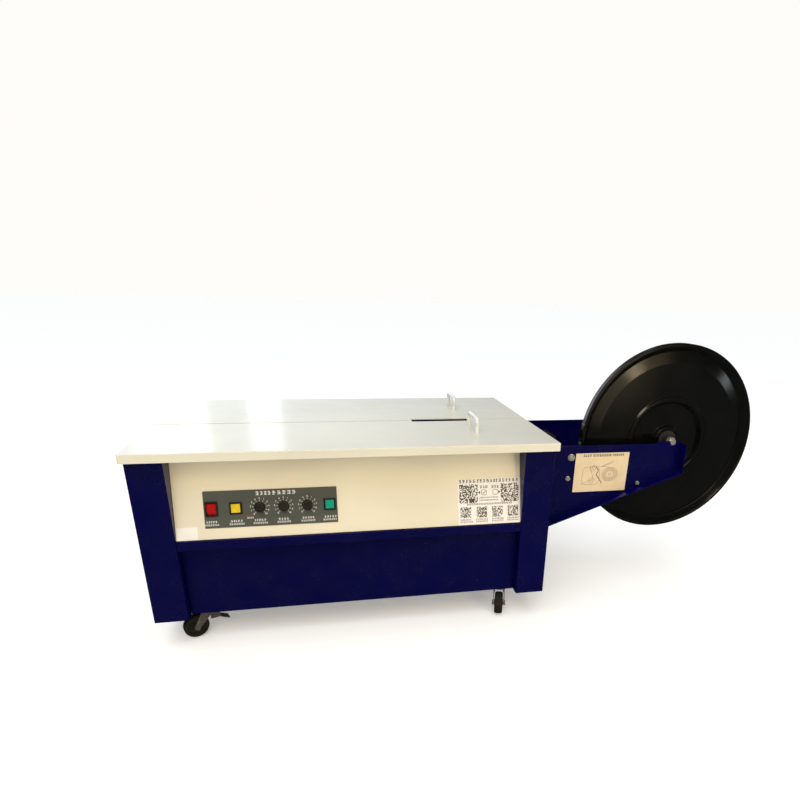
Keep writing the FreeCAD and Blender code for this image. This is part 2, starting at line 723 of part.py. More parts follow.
def potentiometers():
    """Three rotary controls behind the panel, each with a threaded neck round the knob's spindle."""
    bodies = []
    for across in KNOBS_ACROSS.values():
        can = Part.makeCylinder(11, POT_DEPTH, FreeCAD.Vector(0, 0, -SHEET - POT_DEPTH))
        neck = Part.makeCylinder(POT_NECK_RADIUS, SHEET + PLATE_THICKNESS, FreeCAD.Vector(0, 0, -SHEET))
        bore_base = FreeCAD.Vector(0, 0, -POT_DEPTH)
        bore = Part.makeCylinder(POT_SHAFT_RADIUS + RUNNING, 2 * POT_DEPTH, bore_base)
        bodies.append(on_slope(can.fuse(neck).cut(bore).removeSplitter(), across, CONTROL_ROW))
    return Part.makeCompound(bodies)


def knob_with_spindle(across):
    """The knob and the spindle it is pressed on, which turn together."""
    start = FIT_GAP - POT_DEPTH
    end = PLATE_THICKNESS + KNOB_HEIGHT - 4
    spindle = Part.makeCylinder(POT_SHAFT_RADIUS, end - start, FreeCAD.Vector(0, 0, start))
    return union([knob(across), on_slope(spindle, across, CONTROL_ROW)])


# ---- castors -------------------------------------------------------------------------------

def at_castor(shape, name):
    """Move a shape built round a castor's swivel axis, wheel trailing along +X, to its castor."""
    along, back, heading = CASTORS[name]
    moved = shape.copy()
    moved.rotate(FreeCAD.Vector(), Z, heading)
    moved.translate(place(along, back, TABLE_HEIGHT))
    return moved


def castor_plates():
    """Four top plates, each with its ball race and kingpin."""
    plates = []
    for along, back, _ in CASTORS.values():
        foot = place(along, back, TABLE_HEIGHT)
        plate = centred_box(CASTOR_PLATE, CASTOR_PLATE, 2.5, CASTOR_HEIGHT - 2.5)
        plate = plate.makeFillet(4, vertical_edges(plate))
        for x, y in itertools.product((-CASTOR_BOLT_HALF, CASTOR_BOLT_HALF), repeat=2):
            plate = plate.cut(Part.makeCylinder(2.6, 10, FreeCAD.Vector(x, y, CASTOR_HEIGHT - 6)))
        race = Part.makeCylinder(17, 5, FreeCAD.Vector(0, 0, CASTOR_HEIGHT - 7.2))
        kingpin = Part.makeCylinder(KINGPIN_RADIUS, 14, FreeCAD.Vector(0, 0, CASTOR_HEIGHT - 15))
        head = Part.makeCylinder(9, 2.0, FreeCAD.Vector(0, 0, FORK_CROWN_TOP - FORK_SHEET - 2.4))
        one = union([plate, race, kingpin, head])
        one.translate(foot)
        plates.append(one)
    return Part.makeCompound(plates)


def castor_fork():
    """The crown and two raked legs, with the riveted wheel axle."""
    inside = FORK_INSIDE / 2
    outside = inside + FORK_SHEET
    crown = Part.makeCylinder(20, FORK_SHEET, FreeCAD.Vector(0, 0, FORK_CROWN_TOP - FORK_SHEET))
    side_points = [
        FreeCAD.Vector(-14, 0, FORK_CROWN_TOP),
        FreeCAD.Vector(15, 0, FORK_CROWN_TOP),
        FreeCAD.Vector(CASTOR_TRAIL + 8, 0, WHEEL_RADIUS),
        FreeCAD.Vector(CASTOR_TRAIL, 0, WHEEL_RADIUS - 8),
        FreeCAD.Vector(CASTOR_TRAIL - 9, 0, WHEEL_RADIUS + 2),
    ]
    leg_face = Part.Face(rounded_wire(side_points, 3.0, closed=True))
    legs = []
    for start in (-outside, inside):
        leg = leg_face.extrude(Y * FORK_SHEET)
        leg.translate(FreeCAD.Vector(0, start, 0))
        legs.append(leg)
    strip_corner = FreeCAD.Vector(-14, -outside, FORK_CROWN_TOP - FORK_SHEET)
    strip = Part.makeBox(29, 2 * outside, FORK_SHEET, strip_corner)
    fork = union([crown, strip] + legs)
    hole_base = FreeCAD.Vector(0, 0, FORK_CROWN_TOP - 10)
    kingpin_hole = Part.makeCylinder(KINGPIN_RADIUS + RUNNING, 20, hole_base)
    axle_hole = wheel_rod(WHEEL_AXLE_RADIUS, 2 * outside + 2)
    return fork.cut(kingpin_hole).cut(axle_hole)


def wheel_rod(radius, length):
    """A cylinder on the wheel's axis, centred across the fork."""
    return Part.makeCylinder(radius, length, FreeCAD.Vector(CASTOR_TRAIL, -length / 2, WHEEL_RADIUS), Y)


def castor_axle():
    """The rivet that the wheel turns on, with a head at each end."""
    length = FORK_INSIDE + 2 * FORK_SHEET
    shank = wheel_rod(WHEEL_AXLE_RADIUS, length)
    heads = wheel_rod(WHEEL_AXLE_RADIUS + 2, length + 4).cut(wheel_rod(WHEEL_AXLE_RADIUS + 3, length))
    return union([shank, heads])


def castor_wheel():
    """A moulded wheel with a crowned tread and a raised hub."""
    half = WHEEL_WIDTH / 2
    hub = 9.0
    web_end = WHEEL_RADIUS - 8
    shoulder = WHEEL_RADIUS - 2.5
    near_side = [
        (WHEEL_AXLE_RADIUS + RUNNING, -half - 1),
        (hub, -half - 1),
        (hub, -half + 2.5),
        (web_end, -half + 2.5),
        (web_end, -half),
        (shoulder, -half),
        (WHEEL_RADIUS, -half + 5),
    ]
    far_side = [(radius, -across) for radius, across in reversed(near_side)]
    outline = [FreeCAD.Vector(radius, across, 0) for radius, across in near_side + far_side]
    face = Part.Face(Part.makePolygon(outline + outline[:1]))
    wheel = face.revolve(FreeCAD.Vector(), Y, 360)
    wheel.translate(FreeCAD.Vector(CASTOR_TRAIL, 0, WHEEL_RADIUS))
    return wheel


def castor_pedal():
    """The brake pedal ahead of the fork. Pressed down, it turns a few degrees on its pin."""
    pin_start = FreeCAD.Vector(PEDAL_PIVOT_AHEAD, -PEDAL_PIN_HALF, PEDAL_PIVOT_HEIGHT)
    pin = Part.makeCylinder(PEDAL_PIN_RADIUS, 2 * PEDAL_PIN_HALF, pin_start, Y)
    points = [
        FreeCAD.Vector(PEDAL_PIVOT_AHEAD + 2, 0, PEDAL_PIVOT_HEIGHT - 1),
        FreeCAD.Vector(PEDAL_PIVOT_AHEAD - 12, 0, PEDAL_PIVOT_HEIGHT - 9),
        FreeCAD.Vector(PEDAL_PIVOT_AHEAD - 25, 0, PEDAL_PIVOT_HEIGHT - 15),
    ]
    blade = sheet_strip(points, 2.0, 6.0).extrude(Y * PEDAL_WIDTH)
    blade.translate(FreeCAD.Vector(0, -PEDAL_WIDTH / 2, 0))
    return pin.fuse(blade).removeSplitter()


def pedal_ears():
    """Two ears on the front of the fork that the pedal's pin turns in."""
    ears = []
    thickness = 3.0
    low = PEDAL_PIVOT_HEIGHT - 4
    for start in (-PEDAL_PIN_HALF, PEDAL_PIN_HALF - thickness):
        corner = FreeCAD.Vector(PEDAL_PIVOT_AHEAD - 4, start, low)
        pivot = FreeCAD.Vector(PEDAL_PIVOT_AHEAD, start - 1, PEDAL_PIVOT_HEIGHT)
        hole = Part.makeCylinder(PEDAL_PIN_RADIUS + RUNNING, thickness + 2, pivot, Y)
        ears.append(Part.makeBox(PEDAL_EAR_LENGTH, thickness, FORK_CROWN_TOP - low, corner).cut(hole))
    return ears


# ---- reel arm ------------------------------------------------------------------------------

def arm_outline():
    """Corners of an arm plate, as (along, down), from the root round to the tip."""
    root = CABINET_RIGHT
    return [
        (root, ARM_TOP_DOWN),
        (ARM_TIP, ARM_TOP_DOWN),
        (ARM_TIP, ARM_TIP_DOWN),
        (root, ARM_ROOT_DOWN),
    ]


def arm_plate_forwards(back):
    """An arm plate whose flanges turn forwards, with its inner face at a distance back."""
    outline = [place(along, back - ARM_SHEET, down) for along, down in arm_outline()]
    face = Part.Face(Part.makePolygon(outline + outline[:1]))
    web = face.extrude(Y * ARM_SHEET)
    solid = face.extrude(-Y * (ARM_FLANGE - ARM_SHEET))
    inset = [
        (CABINET_RIGHT + ARM_SHEET, ARM_TOP_DOWN - 50),
        (ARM_TIP - ARM_SHEET, ARM_TOP_DOWN - 50),
        (ARM_TIP - ARM_SHEET, ARM_TIP_DOWN - ARM_SHEET),
        (CABINET_RIGHT + ARM_SHEET, ARM_ROOT_DOWN - ARM_SHEET - 1),
    ]
    hollow = [place(along, back - ARM_SHEET, down) for along, down in inset]
    core = Part.Face(Part.makePolygon(hollow + hollow[:1])).extrude(-Y * ARM_FLANGE)
    return union([web, solid.cut(core)])


def axle_saddle(back):
    """A welded doubler that carries the reel's axle in an open slot."""
    return block(
        (REEL_ALONG - ARM_SADDLE_HALF, ARM_TIP - 2),
        (back, back + ARM_SHEET),
        (ARM_TOP_DOWN - SADDLE_RISE, ARM_TOP_DOWN + SADDLE_DEPTH),
    )


def axle_slot(back, depth):
    """The open slot that the axle drops into."""
    round_end = rod(REEL_ALONG, back, REEL_DOWN, AXLE_RADIUS, depth, Y)
    sides = (REEL_ALONG - AXLE_RADIUS, REEL_ALONG + AXLE_RADIUS)
    throat = block(sides, (back, back + depth), (0, REEL_DOWN))
    return round_end.fuse(throat)


def arm_front_plate():
    """The front arm plate: flanges forwards, saddle behind."""
    inner = ARM_FRONT_BACK + ARM_SHEET
    plate = union([arm_plate_forwards(inner), axle_saddle(inner)])
    plate = plate.cut(axle_slot(inner - 2 * ARM_SHEET, 4 * ARM_SHEET))
    for name, (along, down) in BOLTS_AT.items():
        thread = ARM_BOLTS[name][0]
        plate = plate.cut(rod(along, inner - 2 * ARM_SHEET, down, thread, 4 * ARM_SHEET, Y))
    return plate


def arm_rear_plate():
    """The rear arm plate, its mirror image."""
    middle = place(0, (ARM_FRONT_BACK + ARM_REAR_BACK) / 2, 0)
    return arm_front_plate().mirror(middle, Y)


def arm_cross_shafts():
    """Two identical bars between the arm plates, tapped at both ends, with a collar on each side
    of the roller that turns on them."""
    inner = ARM_FRONT_BACK + ARM_SHEET
    length = ARM_REAR_BACK - ARM_FRONT_BACK - 2 * ARM_SHEET
    tapped = BOLT_REACH - ARM_SHEET + 1
    collar_width = 5.0
    collar_starts = (
        SEAM_BACK - ROLLER_WIDTH / 2 - FIT_GAP - collar_width,
        SEAM_BACK + ROLLER_WIDTH / 2 + FIT_GAP,
    )
    shafts = []
    for name, (along, down) in CROSS_SHAFTS.items():
        thread = ARM_BOLTS[name][0]
        bar = rod(along, inner, down, SHAFT_RADIUS, length, Y)
        collars = [rod(along, back, down, SHAFT_RADIUS + 4, collar_width, Y) for back in collar_starts]
        shaft = union([bar] + collars)
        shaft = shaft.cut(rod(along, inner, down, thread, tapped, Y))
        shafts.append(shaft.cut(rod(along, inner + length, down, thread, tapped, -Y)))
    return Part.makeCompound(shafts)


def arm_bolts():
    """Hexagon bolts with washers: one into each shaft end, and one with a nut near each arm tip."""
    bolts = []
    washer_sheet = 1.2
    for back, outward in ((ARM_FRONT_BACK, -Y), (ARM_REAR_BACK, Y)):
        for name, (along, down) in BOLTS_AT.items():
            thread, flats, washer_radius = ARM_BOLTS[name]
            centre = place(along, back, down)
            washer = Part.makeCylinder(washer_radius, washer_sheet, centre, outward)
            head = hexagon(flats, 1.3 * thread, centre + outward * washer_sheet, outward)
            shank = Part.makeCylinder(thread, BOLT_REACH, centre, -outward)
            bolts.append(union([washer, head, shank]))
        bolts.append(outer_bolt_nut(back, outward))
    return Part.makeCompound(bolts)


def outer_bolt_nut(back, outward):
    """The nut behind an arm plate on the bolt near its tip."""
    thread, flats, _ = ARM_BOLTS["outer"]
    along, down = BOLTS_AT["outer"]
    inner_face = place(along, back, down) - outward * ARM_SHEET
    nut = hexagon(flats, 1.6 * thread, inner_face, -outward)
    return nut.cut(Part.makeCylinder(thread, BOLT_REACH, inner_face, -outward))


def guide_roller(name):
    """A flanged roller, turning on its shaft in line with the strap slot."""
    along, down = CROSS_SHAFTS[name]
    start = SEAM_BACK - ROLLER_WIDTH / 2
    barrel = rod(along, start, down, ROLLER_RADIUS, ROLLER_WIDTH, Y)
    flanges = [rod(along, back, down, ROLLER_FLANGE, 4, Y) for back in (start, start + ROLLER_WIDTH - 4)]
    bore = rod(along, start - 1, down, SHAFT_RADIUS + RUNNING, ROLLER_WIDTH + 2, Y)
    return union([barrel] + flanges).cut(bore)


def upper_guide_roller():
    return guide_roller("upper")


def lower_guide_roller():
    return guide_roller("lower")


# ---- reel ----------------------------------------------------------------------------------

def reel_front_disc():
    """Pressed disc: rolled rim with a skirt, sloping band, flat ring, bead and sunk centre."""
    return revolve_about_reel([
        (HUB_RADIUS, 8.0),
        (30.0, 8.0),
        (35.0, 16.0),
        (88.0, 16.0),
        (96.0, 4.5),
        (104.0, 4.5),
        (109.0, 8.0),
        (187.0, 8.0),
        (214.0, 14.0),
        (226.0, 0.0),
        (REEL_RADIUS, 0.0),
        (REEL_RADIUS, REEL_SKIRT),
    ], REEL_SHEET, 2.2)


def reel_rear_disc():
    """The sliding disc, pressed the other way round and a little smaller."""
    bore = HUB_RADIUS + RUNNING
    return revolve_about_reel([
        (bore, 30.0),
        (32.0, 30.0),
        (36.0, 20.0),
        (88.0, 20.0),
        (100.0, 27.0),
        (185.0, 27.0),
        (203.0, 21.0),
        (211.0, 33.0),
        (REAR_DISC_RADIUS, 33.0),
    ], REEL_SHEET, 2.2)


def hub_tube():
    """The tube that the discs sit on."""
    start = REEL_FRONT_BACK + 6
    tube = rod(REEL_ALONG, start, REEL_DOWN, HUB_RADIUS, HUB_LENGTH, Y)
    return tube.cut(rod(REEL_ALONG, start - 1, REEL_DOWN, HUB_BORE, HUB_LENGTH + 2, Y))


def hub_bushes():
    """Two flanged plastic bushes in the ends of the hub tube, running on the axle. The boss on each
    one reaches to the nut inside the arm plate."""
    front = REEL_FRONT_BACK + 6
    rear = front + HUB_LENGTH
    bushes = []
    for face, inward in ((front, Y), (rear, -Y)):
        centre = place(REEL_ALONG, face, REEL_DOWN)
        sleeve = Part.makeCylinder(HUB_BORE, 25, centre, inward)
        flange = Part.makeCylinder(HUB_RADIUS - 1, BUSH_FLANGE, centre, -inward)
        boss = Part.makeCylinder(BUSH_BOSS, BUSH_FLANGE + BUSH_BOSS_LENGTH, centre, -inward)
        bore = Part.makeCylinder(AXLE_RADIUS + RUNNING, 60, centre - inward * 30, inward)
        bushes.append(union([sleeve, flange, boss]).cut(bore))
    return Part.makeCompound(bushes)


def reel_axle():
    """The bar across the arm that the reel turns on."""
    return rod(REEL_ALONG, ARM_FRONT_BACK, REEL_DOWN, AXLE_RADIUS, ARM_REAR_BACK - ARM_FRONT_BACK, Y)


def axle_nuts():
    """Two nuts on the axle, one inside each arm plate, that keep the reel in place."""
    saddle_face = ARM_FRONT_BACK + 2 * ARM_SHEET
    rear_face = ARM_REAR_BACK - 2 * ARM_SHEET
    nuts = []
    for back, inward in ((saddle_face, Y), (rear_face, -Y)):
        centre = place(REEL_ALONG, back, REEL_DOWN)
        nut = hexagon(AXLE_NUT_FLATS, NUT_HEIGHT, centre, inward)
        nuts.append(nut.cut(Part.makeCylinder(AXLE_RADIUS, 30, centre - inward * 5, inward)))
    return Part.makeCompound(nuts)


# ---- sealing head --------------------------------------------------------------------------

def head_frame():
    """Two end plates that carry the camshaft and two guide plates that the rams slide between."""
    half = RAM_DEPTH / 2 + FIT_GAP
    ends = []
    for start in (HEAD_ALONG - HEAD_HALF_LENGTH, HEAD_ALONG + HEAD_HALF_LENGTH - HEAD_PLATE):
        back = (SEAM_BACK - 50, SEAM_BACK + 50)
        ends.append(block((start, start + HEAD_PLATE), back, (RAM_TOP_DOWN + 14, TRAY_TOP_DOWN)))
    guides = []
    for low, high in ((-half - HEAD_PLATE, -half), (half, half + HEAD_PLATE)):
        guides.append(block(
            (HEAD_ALONG - HEAD_HALF_LENGTH, HEAD_ALONG + HEAD_HALF_LENGTH),
            (SEAM_BACK + low, SEAM_BACK + high),
            (RAM_TOP_DOWN + 14, CAMSHAFT_DOWN - CAM_RADIUS - CAM_THROW - 4),
        ))
    frame = union(ends + guides)
    bore = rod(HEAD_ALONG - 80, SEAM_BACK, CAMSHAFT_DOWN, CAMSHAFT_RADIUS + RUNNING, 160, X)
    return frame.cut(bore)


def camshaft():
    """The shaft under the rams, driven by the gear motor at its left end."""
    start = HEAD_ALONG - HEAD_HALF_LENGTH - 28
    return rod(start, SEAM_BACK, CAMSHAFT_DOWN, CAMSHAFT_RADIUS, 2 * HEAD_HALF_LENGTH + 34, X)


def cams():
    """Three identical eccentric discs keyed on the shaft, a third of a turn apart."""
    discs = []
    for i in range(3):
        angle = math.radians(120 * i - 90)
        along = HEAD_ALONG + (i - 1) * RAM_PITCH - CAM_WIDTH / 2
        back = SEAM_BACK + CAM_THROW * math.cos(angle)
        down = CAMSHAFT_DOWN - CAM_THROW * math.sin(angle)
        disc = rod(along, back, down, CAM_RADIUS, CAM_WIDTH, X)
        bore = rod(along - 1, SEAM_BACK, CAMSHAFT_DOWN, CAMSHAFT_RADIUS, CAM_WIDTH + 2, X)
        discs.append(disc.cut(bore))
    return Part.makeCompound(discs)


def ram(index):
    """One of the three vertical rams, with a toothed top face."""
    along = HEAD_ALONG + (index - 1) * RAM_PITCH
    bottom = CAMSHAFT_DOWN - CAM_RADIUS - CAM_THROW - 0.5
    body = block(
        (along - RAM_WIDTH / 2, along + RAM_WIDTH / 2),
        (SEAM_BACK - RAM_DEPTH / 2, SEAM_BACK + RAM_DEPTH / 2),
        (RAM_TOP_DOWN, bottom),
    )
    groove_pitch = 4.0
    first = along - RAM_WIDTH / 2 + groove_pitch / 2
    for i in range(int(RAM_WIDTH / groove_pitch)):
        start = first + i * groove_pitch
        teeth_back = (SEAM_BACK - 8, SEAM_BACK + 8)
        body = body.cut(block((start, start + 1.2), teeth_back, (RAM_TOP_DOWN, RAM_TOP_DOWN + 1)))
    return body


def left_gripper():
    return ram(0)


def press_and_cutter():
    return ram(1)


def right_gripper():
    return ram(2)


def cam_gear_motor():
    """The gear motor that turns the camshaft: gearbox with a hollow output, motor and foot."""
    half = GEARBOX_SIZE / 2
    end = HEAD_ALONG - HEAD_HALF_LENGTH - 6
    box_start = end - GEARBOX_SIZE
    gearbox = block(
        (box_start, end),
        (SEAM_BACK - half, SEAM_BACK + half),
        (CAMSHAFT_DOWN - half, CAMSHAFT_DOWN + half),
    )
    gearbox = gearbox.makeFillet(5, gearbox.Edges)
    motor = rod(box_start - 130, SEAM_BACK, CAMSHAFT_DOWN, 38, 131, X)
    fan_cover = rod(box_start - 150, SEAM_BACK, CAMSHAFT_DOWN, 41, 30, X)
    foot = block(
        (box_start + 14, end - 14),
        (SEAM_BACK - 30, SEAM_BACK + 30),
        (CAMSHAFT_DOWN + half - 6, TRAY_TOP_DOWN),
    )
    bore = rod(end - 30, SEAM_BACK, CAMSHAFT_DOWN, CAMSHAFT_RADIUS + RUNNING, 40, X)
    return union([gearbox, motor, fan_cover, foot]).cut(bore)


# ---- strap feed, strap box and electrics ---------------------------------------------------

def feed_roller():
    """The driven roller and its shaft."""
    roller = rod(FEED_ALONG, SEAM_BACK - FEED_WIDTH / 2, FEED_DOWN, FEED_ROLLER_RADIUS, FEED_WIDTH, Y)
    shaft = rod(FEED_ALONG, SEAM_BACK - 20, FEED_DOWN, FEED_SHAFT_RADIUS, 56, Y)
    return union([roller, shaft])


def pinch_roller():
    """The free roller above it that presses the strap down."""
    roller = rod(FEED_ALONG, SEAM_BACK - FEED_WIDTH / 2, PINCH_DOWN, PINCH_ROLLER_RADIUS, FEED_WIDTH, Y)
    shaft = rod(FEED_ALONG, SEAM_BACK - 20, PINCH_DOWN, PINCH_SHAFT_RADIUS, 40, Y)
    return union([roller, shaft])


def feed_motor():
    """The second motor, which feeds and tightens the strap, on a bracket that holds both rollers."""
    width = (FEED_ALONG - 22, FEED_ALONG + 22)
    front_cheek = SEAM_BACK - 17
    rear_cheek = SEAM_BACK + 11
    motor_start = rear_cheek + 7
    cheek_top = PINCH_DOWN - 10
    pieces = [
        rod(FEED_ALONG, motor_start, FEED_DOWN, 36, 110, Y),
        block(width, (front_cheek, front_cheek + 6), (cheek_top, TRAY_TOP_DOWN)),
        block(width, (rear_cheek, rear_cheek + 6), (cheek_top, TRAY_TOP_DOWN)),
        block(width, (front_cheek, motor_start + 90), (TRAY_TOP_DOWN - 5, TRAY_TOP_DOWN)),
        block(width, (rear_cheek, motor_start + 1), (FEED_DOWN - 20, FEED_DOWN + 40)),
    ]
    feed_bore = rod(FEED_ALONG, front_cheek - 4, FEED_DOWN, FEED_SHAFT_RADIUS + RUNNING, 60, Y)
    pinch_bore = rod(FEED_ALONG, front_cheek - 4, PINCH_DOWN, PINCH_SHAFT_RADIUS + RUNNING, 42, Y)
    return union(pieces).cut(feed_bore).cut(pinch_bore)


def strap_box():
    """The upright open-topped box where fed strap folds up ahead of use."""
    along = (90.0, 360.0)
    back = (SEAM_BACK - 16, SEAM_BACK + 16)
    down = (60.0, TRAY_TOP_DOWN)
    outside = block(along, back, down)
    inside = block(
        (along[0] + SHEET, along[1] - SHEET),
        (back[0] + SHEET, back[1] - SHEET),
        (down[0] - 1, down[1] - SHEET),
    )
    return outside.cut(inside)


def control_box():
    """The closed box on the tray that holds the control board."""
    box = block((110, 300), (120, 200), (TRAY_TOP_DOWN - 130, TRAY_TOP_DOWN))
    return box.makeFillet(3, vertical_edges(box))


# ---- all pieces ----------------------------------------------------------------------------

def all_parts():
    """Every node's name and shape."""
    parts = {
        "front_table_plate": front_table_plate(),
        "rear_table_plate": rear_table_plate(),
        "table_hinge_pins": hinge_pins(),
        "front_package_stop": package_stop(STOP_FRONT_CENTRE),
        "rear_package_stop": package_stop(STOP_REAR_CENTRE),
        "left_side_panel": left_side_panel(),
        "right_side_panel": right_side_panel(),
        "front_rail": front_rail(),
        "lower_front_panel": lower_front_panel(),
        "rear_panel": rear_panel(),
        "cable_gland": cable_gland(),
        "base_tray": base_tray(),
        "top_frame": top_frame(),
        "control_panel": control_panel(),
        "control_plate": control_plate(),
        "panel_screws": panel_screws(),
        "power_switch_bezel": power_switch_bezel(),
        "button_bezels": button_bezels(),
        "power_rocker": power_rocker(),
        "reset_button": reset_button(),
        "feed_button": feed_button(),
        "potentiometers": potentiometers(),
        "castor_plates": castor_plates(),
        "arm_front_plate": arm_front_plate(),
        "arm_rear_plate": arm_rear_plate(),
        "arm_cross_shafts": arm_cross_shafts(),
        "arm_bolts": arm_bolts(),
        "upper_guide_roller": upper_guide_roller(),
        "lower_guide_roller": lower_guide_roller(),
        "reel_front_disc": reel_front_disc(),
        "reel_rear_disc": reel_rear_disc(),
        "reel_hub_tube": hub_tube(),
        "reel_hub_bushes": hub_bushes(),
        "reel_axle": reel_axle(),
        "reel_axle_nuts": axle_nuts(),
        "head_frame": head_frame(),
        "camshaft": camshaft(),
        "cams": cams(),
        "left_gripper": left_gripper(),
        "press_and_cutter": press_and_cutter(),
        "right_gripper": right_gripper(),
        "cam_gear_motor": cam_gear_motor(),
        "feed_motor": feed_motor(),
        "feed_roller": feed_roller(),
        "pinch_roller": pinch_roller(),
        "strap_box": strap_box(),
        "control_box": control_box(),
    }
    for name, across in KNOBS_ACROSS.items():
        parts[name] = knob_with_spindle(across)
    for name in CASTORS:
        fork = castor_fork()
        if name.startswith("front"):
            fork = union([fork] + pedal_ears())
            parts["castor_pedal_" + name] = at_castor(castor_pedal(), name)
        parts["castor_fork_" + name] = at_castor(Part.makeCompound([fork, castor_axle()]), name)
        parts["castor_wheel_" + name] = at_castor(castor_wheel(), name)
    return parts


def main():
    os.makedirs("parts", exist_ok=True)
    for name, shape in all_parts().items():
        if not shape.isValid():
            raise ValueError(name + " is not a valid shape")
        shape.exportStep("parts/" + name + ".step")
        print(name, len(shape.Solids), "solids", round(shape.Volume / 1000, 1), "cm3")


main()
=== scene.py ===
import json
import math
import random

import bmesh
import bpy
from mathutils import Matrix, Vector


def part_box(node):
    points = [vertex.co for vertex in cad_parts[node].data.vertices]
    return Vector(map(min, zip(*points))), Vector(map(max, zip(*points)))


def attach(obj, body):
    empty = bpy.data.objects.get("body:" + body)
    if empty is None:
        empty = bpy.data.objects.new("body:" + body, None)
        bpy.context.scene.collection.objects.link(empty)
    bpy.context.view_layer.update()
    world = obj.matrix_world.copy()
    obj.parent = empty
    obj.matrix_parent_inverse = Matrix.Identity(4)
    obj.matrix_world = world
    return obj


# Looks, printed marks, floor, light and camera for the low-table strapping machine. Metres.
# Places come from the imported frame: along, back and down are measured from the table's left edge,
# its front edge and its top.

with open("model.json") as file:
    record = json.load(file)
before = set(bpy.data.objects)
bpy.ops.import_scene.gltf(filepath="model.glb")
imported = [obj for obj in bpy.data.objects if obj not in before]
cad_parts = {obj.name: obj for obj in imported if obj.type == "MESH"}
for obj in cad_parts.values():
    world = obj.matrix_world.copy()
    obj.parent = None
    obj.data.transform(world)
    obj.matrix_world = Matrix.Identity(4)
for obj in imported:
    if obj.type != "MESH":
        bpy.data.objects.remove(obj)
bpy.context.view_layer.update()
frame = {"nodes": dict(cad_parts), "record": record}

# ---- driving dimensions --------------------------------------------------------------------

TABLE_LOW, TABLE_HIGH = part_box("front_table_plate")
TABLE_LEFT = TABLE_LOW.x
TABLE_FRONT = TABLE_LOW.y
TABLE_TOP = TABLE_HIGH.z
REEL_CENTRE = sum(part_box("reel_front_disc"), Vector()) / 2

# The sloping control panel: its lower edge and its tilt from upright, how far the control plate
# stands out of it, and how far up the slope the controls are.
PANEL_BACK = 0.025
PANEL_DOWN = 0.194
PANEL_TILT = math.radians(14.1)
PLATE_OUT = 0.0012
CONTROL_ROW = 0.064
CONTROLS_ACROSS = (0.1472, 0.1955, 0.2433, 0.2921, 0.3414, 0.388)
DIALS_ACROSS = CONTROLS_ACROSS[2:5]

# Thickness of ink and of label stock, a label's corner radius, and its gap to the panel's edge.
INK = 0.00004
LABEL_SHEET = 0.0002
LABEL_CORNER = 0.0015
LABEL_GAP = 0.0005
CORNER_STEPS = 5
RING_STEPS = 36

# Captions on the control plate. Two rows under each control: half length, up, stroke height, gap.
# Then single lines: across, up, length, stroke height.
CAPTION_ROWS = ((0.0120, 0.0345, 0.0042, 0.35), (0.0150, 0.0285, 0.0036, 0.15))
PLATE_TITLE = (0.2370, 0.0895, 0.081, 0.0078)
DIAL_NOTE = (0.2165, 0.0405, 0.013, 0.0034)
RED_NOTE = (0.2150, 0.0455, 0.016, 0.0034)

# Dials.
DIAL_TICKS = 11
DIAL_SWEEP = math.radians(280)
TICK_INNER = 0.0124
TICK_LENGTH = 0.0032
TICK_WIDTH = 0.0008
NUMERAL_RADIUS = 0.0188
NUMERAL_SIZE = 0.0050
NUMERAL_WEIGHT = 0.00012

# Arm label, on the front arm plate, with its drawing of a coil, two rollers and a strap.
ARM_FACE_BACK = 0.084
LABEL_ALONG = 0.971
LABEL_DOWN = 0.049
LABEL_WIDTH = 0.140
LABEL_HEIGHT = 0.098
DRAWN_LINE = 0.0009
STRAP_LINE = 0.0017
COIL_CENTRE = (0.024, -0.006)
COIL_RADII = (0.021, 0.0185, 0.016, 0.0135, 0.011, 0.004)
COIL_FLATTENED = 0.85
ROLLER_CENTRES = ((-0.022, 0.010), (-0.024, -0.020))
ROLLER_RADII = (0.007, 0.002)

# Sticker and notice sheet, on the sloping panel. The notice has two big mosaics over four columns.
STICKER_ACROSS = 0.0745
STICKER_WIDTH = 0.042
STICKER_HEIGHT = 0.027
NOTICE_ACROSS = 0.6737
NOTICE_WIDTH = 0.148
NOTICE_HEIGHT = 0.105
BIG_MOSAIC = 0.043
BIG_MOSAIC_CELLS = 22
SMALL_MOSAIC = 0.025
SMALL_MOSAIC_CELLS = 15
MOSAIC_FILL = 0.56
MOSAIC_SQUARE = 0.96
NOTICE_COLUMNS = 4
COLUMN_START = 0.005
COLUMN_PITCH = 0.0375
PICTOGRAM_UP = 0.0735
PICTOGRAM_SIZE = 0.0125
CHECK_LINE = 0.0014

# Rounding of the CAD nodes' edges, and the sheets too thin for it.
EDGE_ROUND = 0.0005
FLAT_SHEETS = ("control_panel", "control_plate", "rear_panel", "base_tray")

# Light, floor and camera.
WARM = (1.0, 0.80, 0.54)
BROWN = (1.0, 0.80, 0.48)
COOL = (0.90, 0.96, 1.0)
SKY_COLOUR = (0.93, 0.97, 1.0)
SURROUND_COLOUR = (1.0, 0.98, 0.95)
CABINET_MIDDLE = (0, 0, 0.3)
FLOOR_COLOUR = (0.82, 0.82, 0.81)
FLOOR_IN_GLOSS = (0.05, 0.05, 0.05)
FLOOR_GLOW = 0.30
FLOOR_REACH = 30.0
CAMERA_AT = (-0.32574, -1.44026, 0.76127)
CAMERA_RIGHT = (0.97643, -0.21373, 0.03014)
CAMERA_FORWARD = (0.20894, 0.90086, -0.38051)
CAMERA_LENS = 25.76
CAMERA_SHIFT = (-0.0759, 0.154)


# ---- places --------------------------------------------------------------------------------

def place(along, back, down):
    """A point from the table's left edge, front edge and top."""
    return Vector((TABLE_LEFT + along, TABLE_FRONT + back, TABLE_TOP - down))


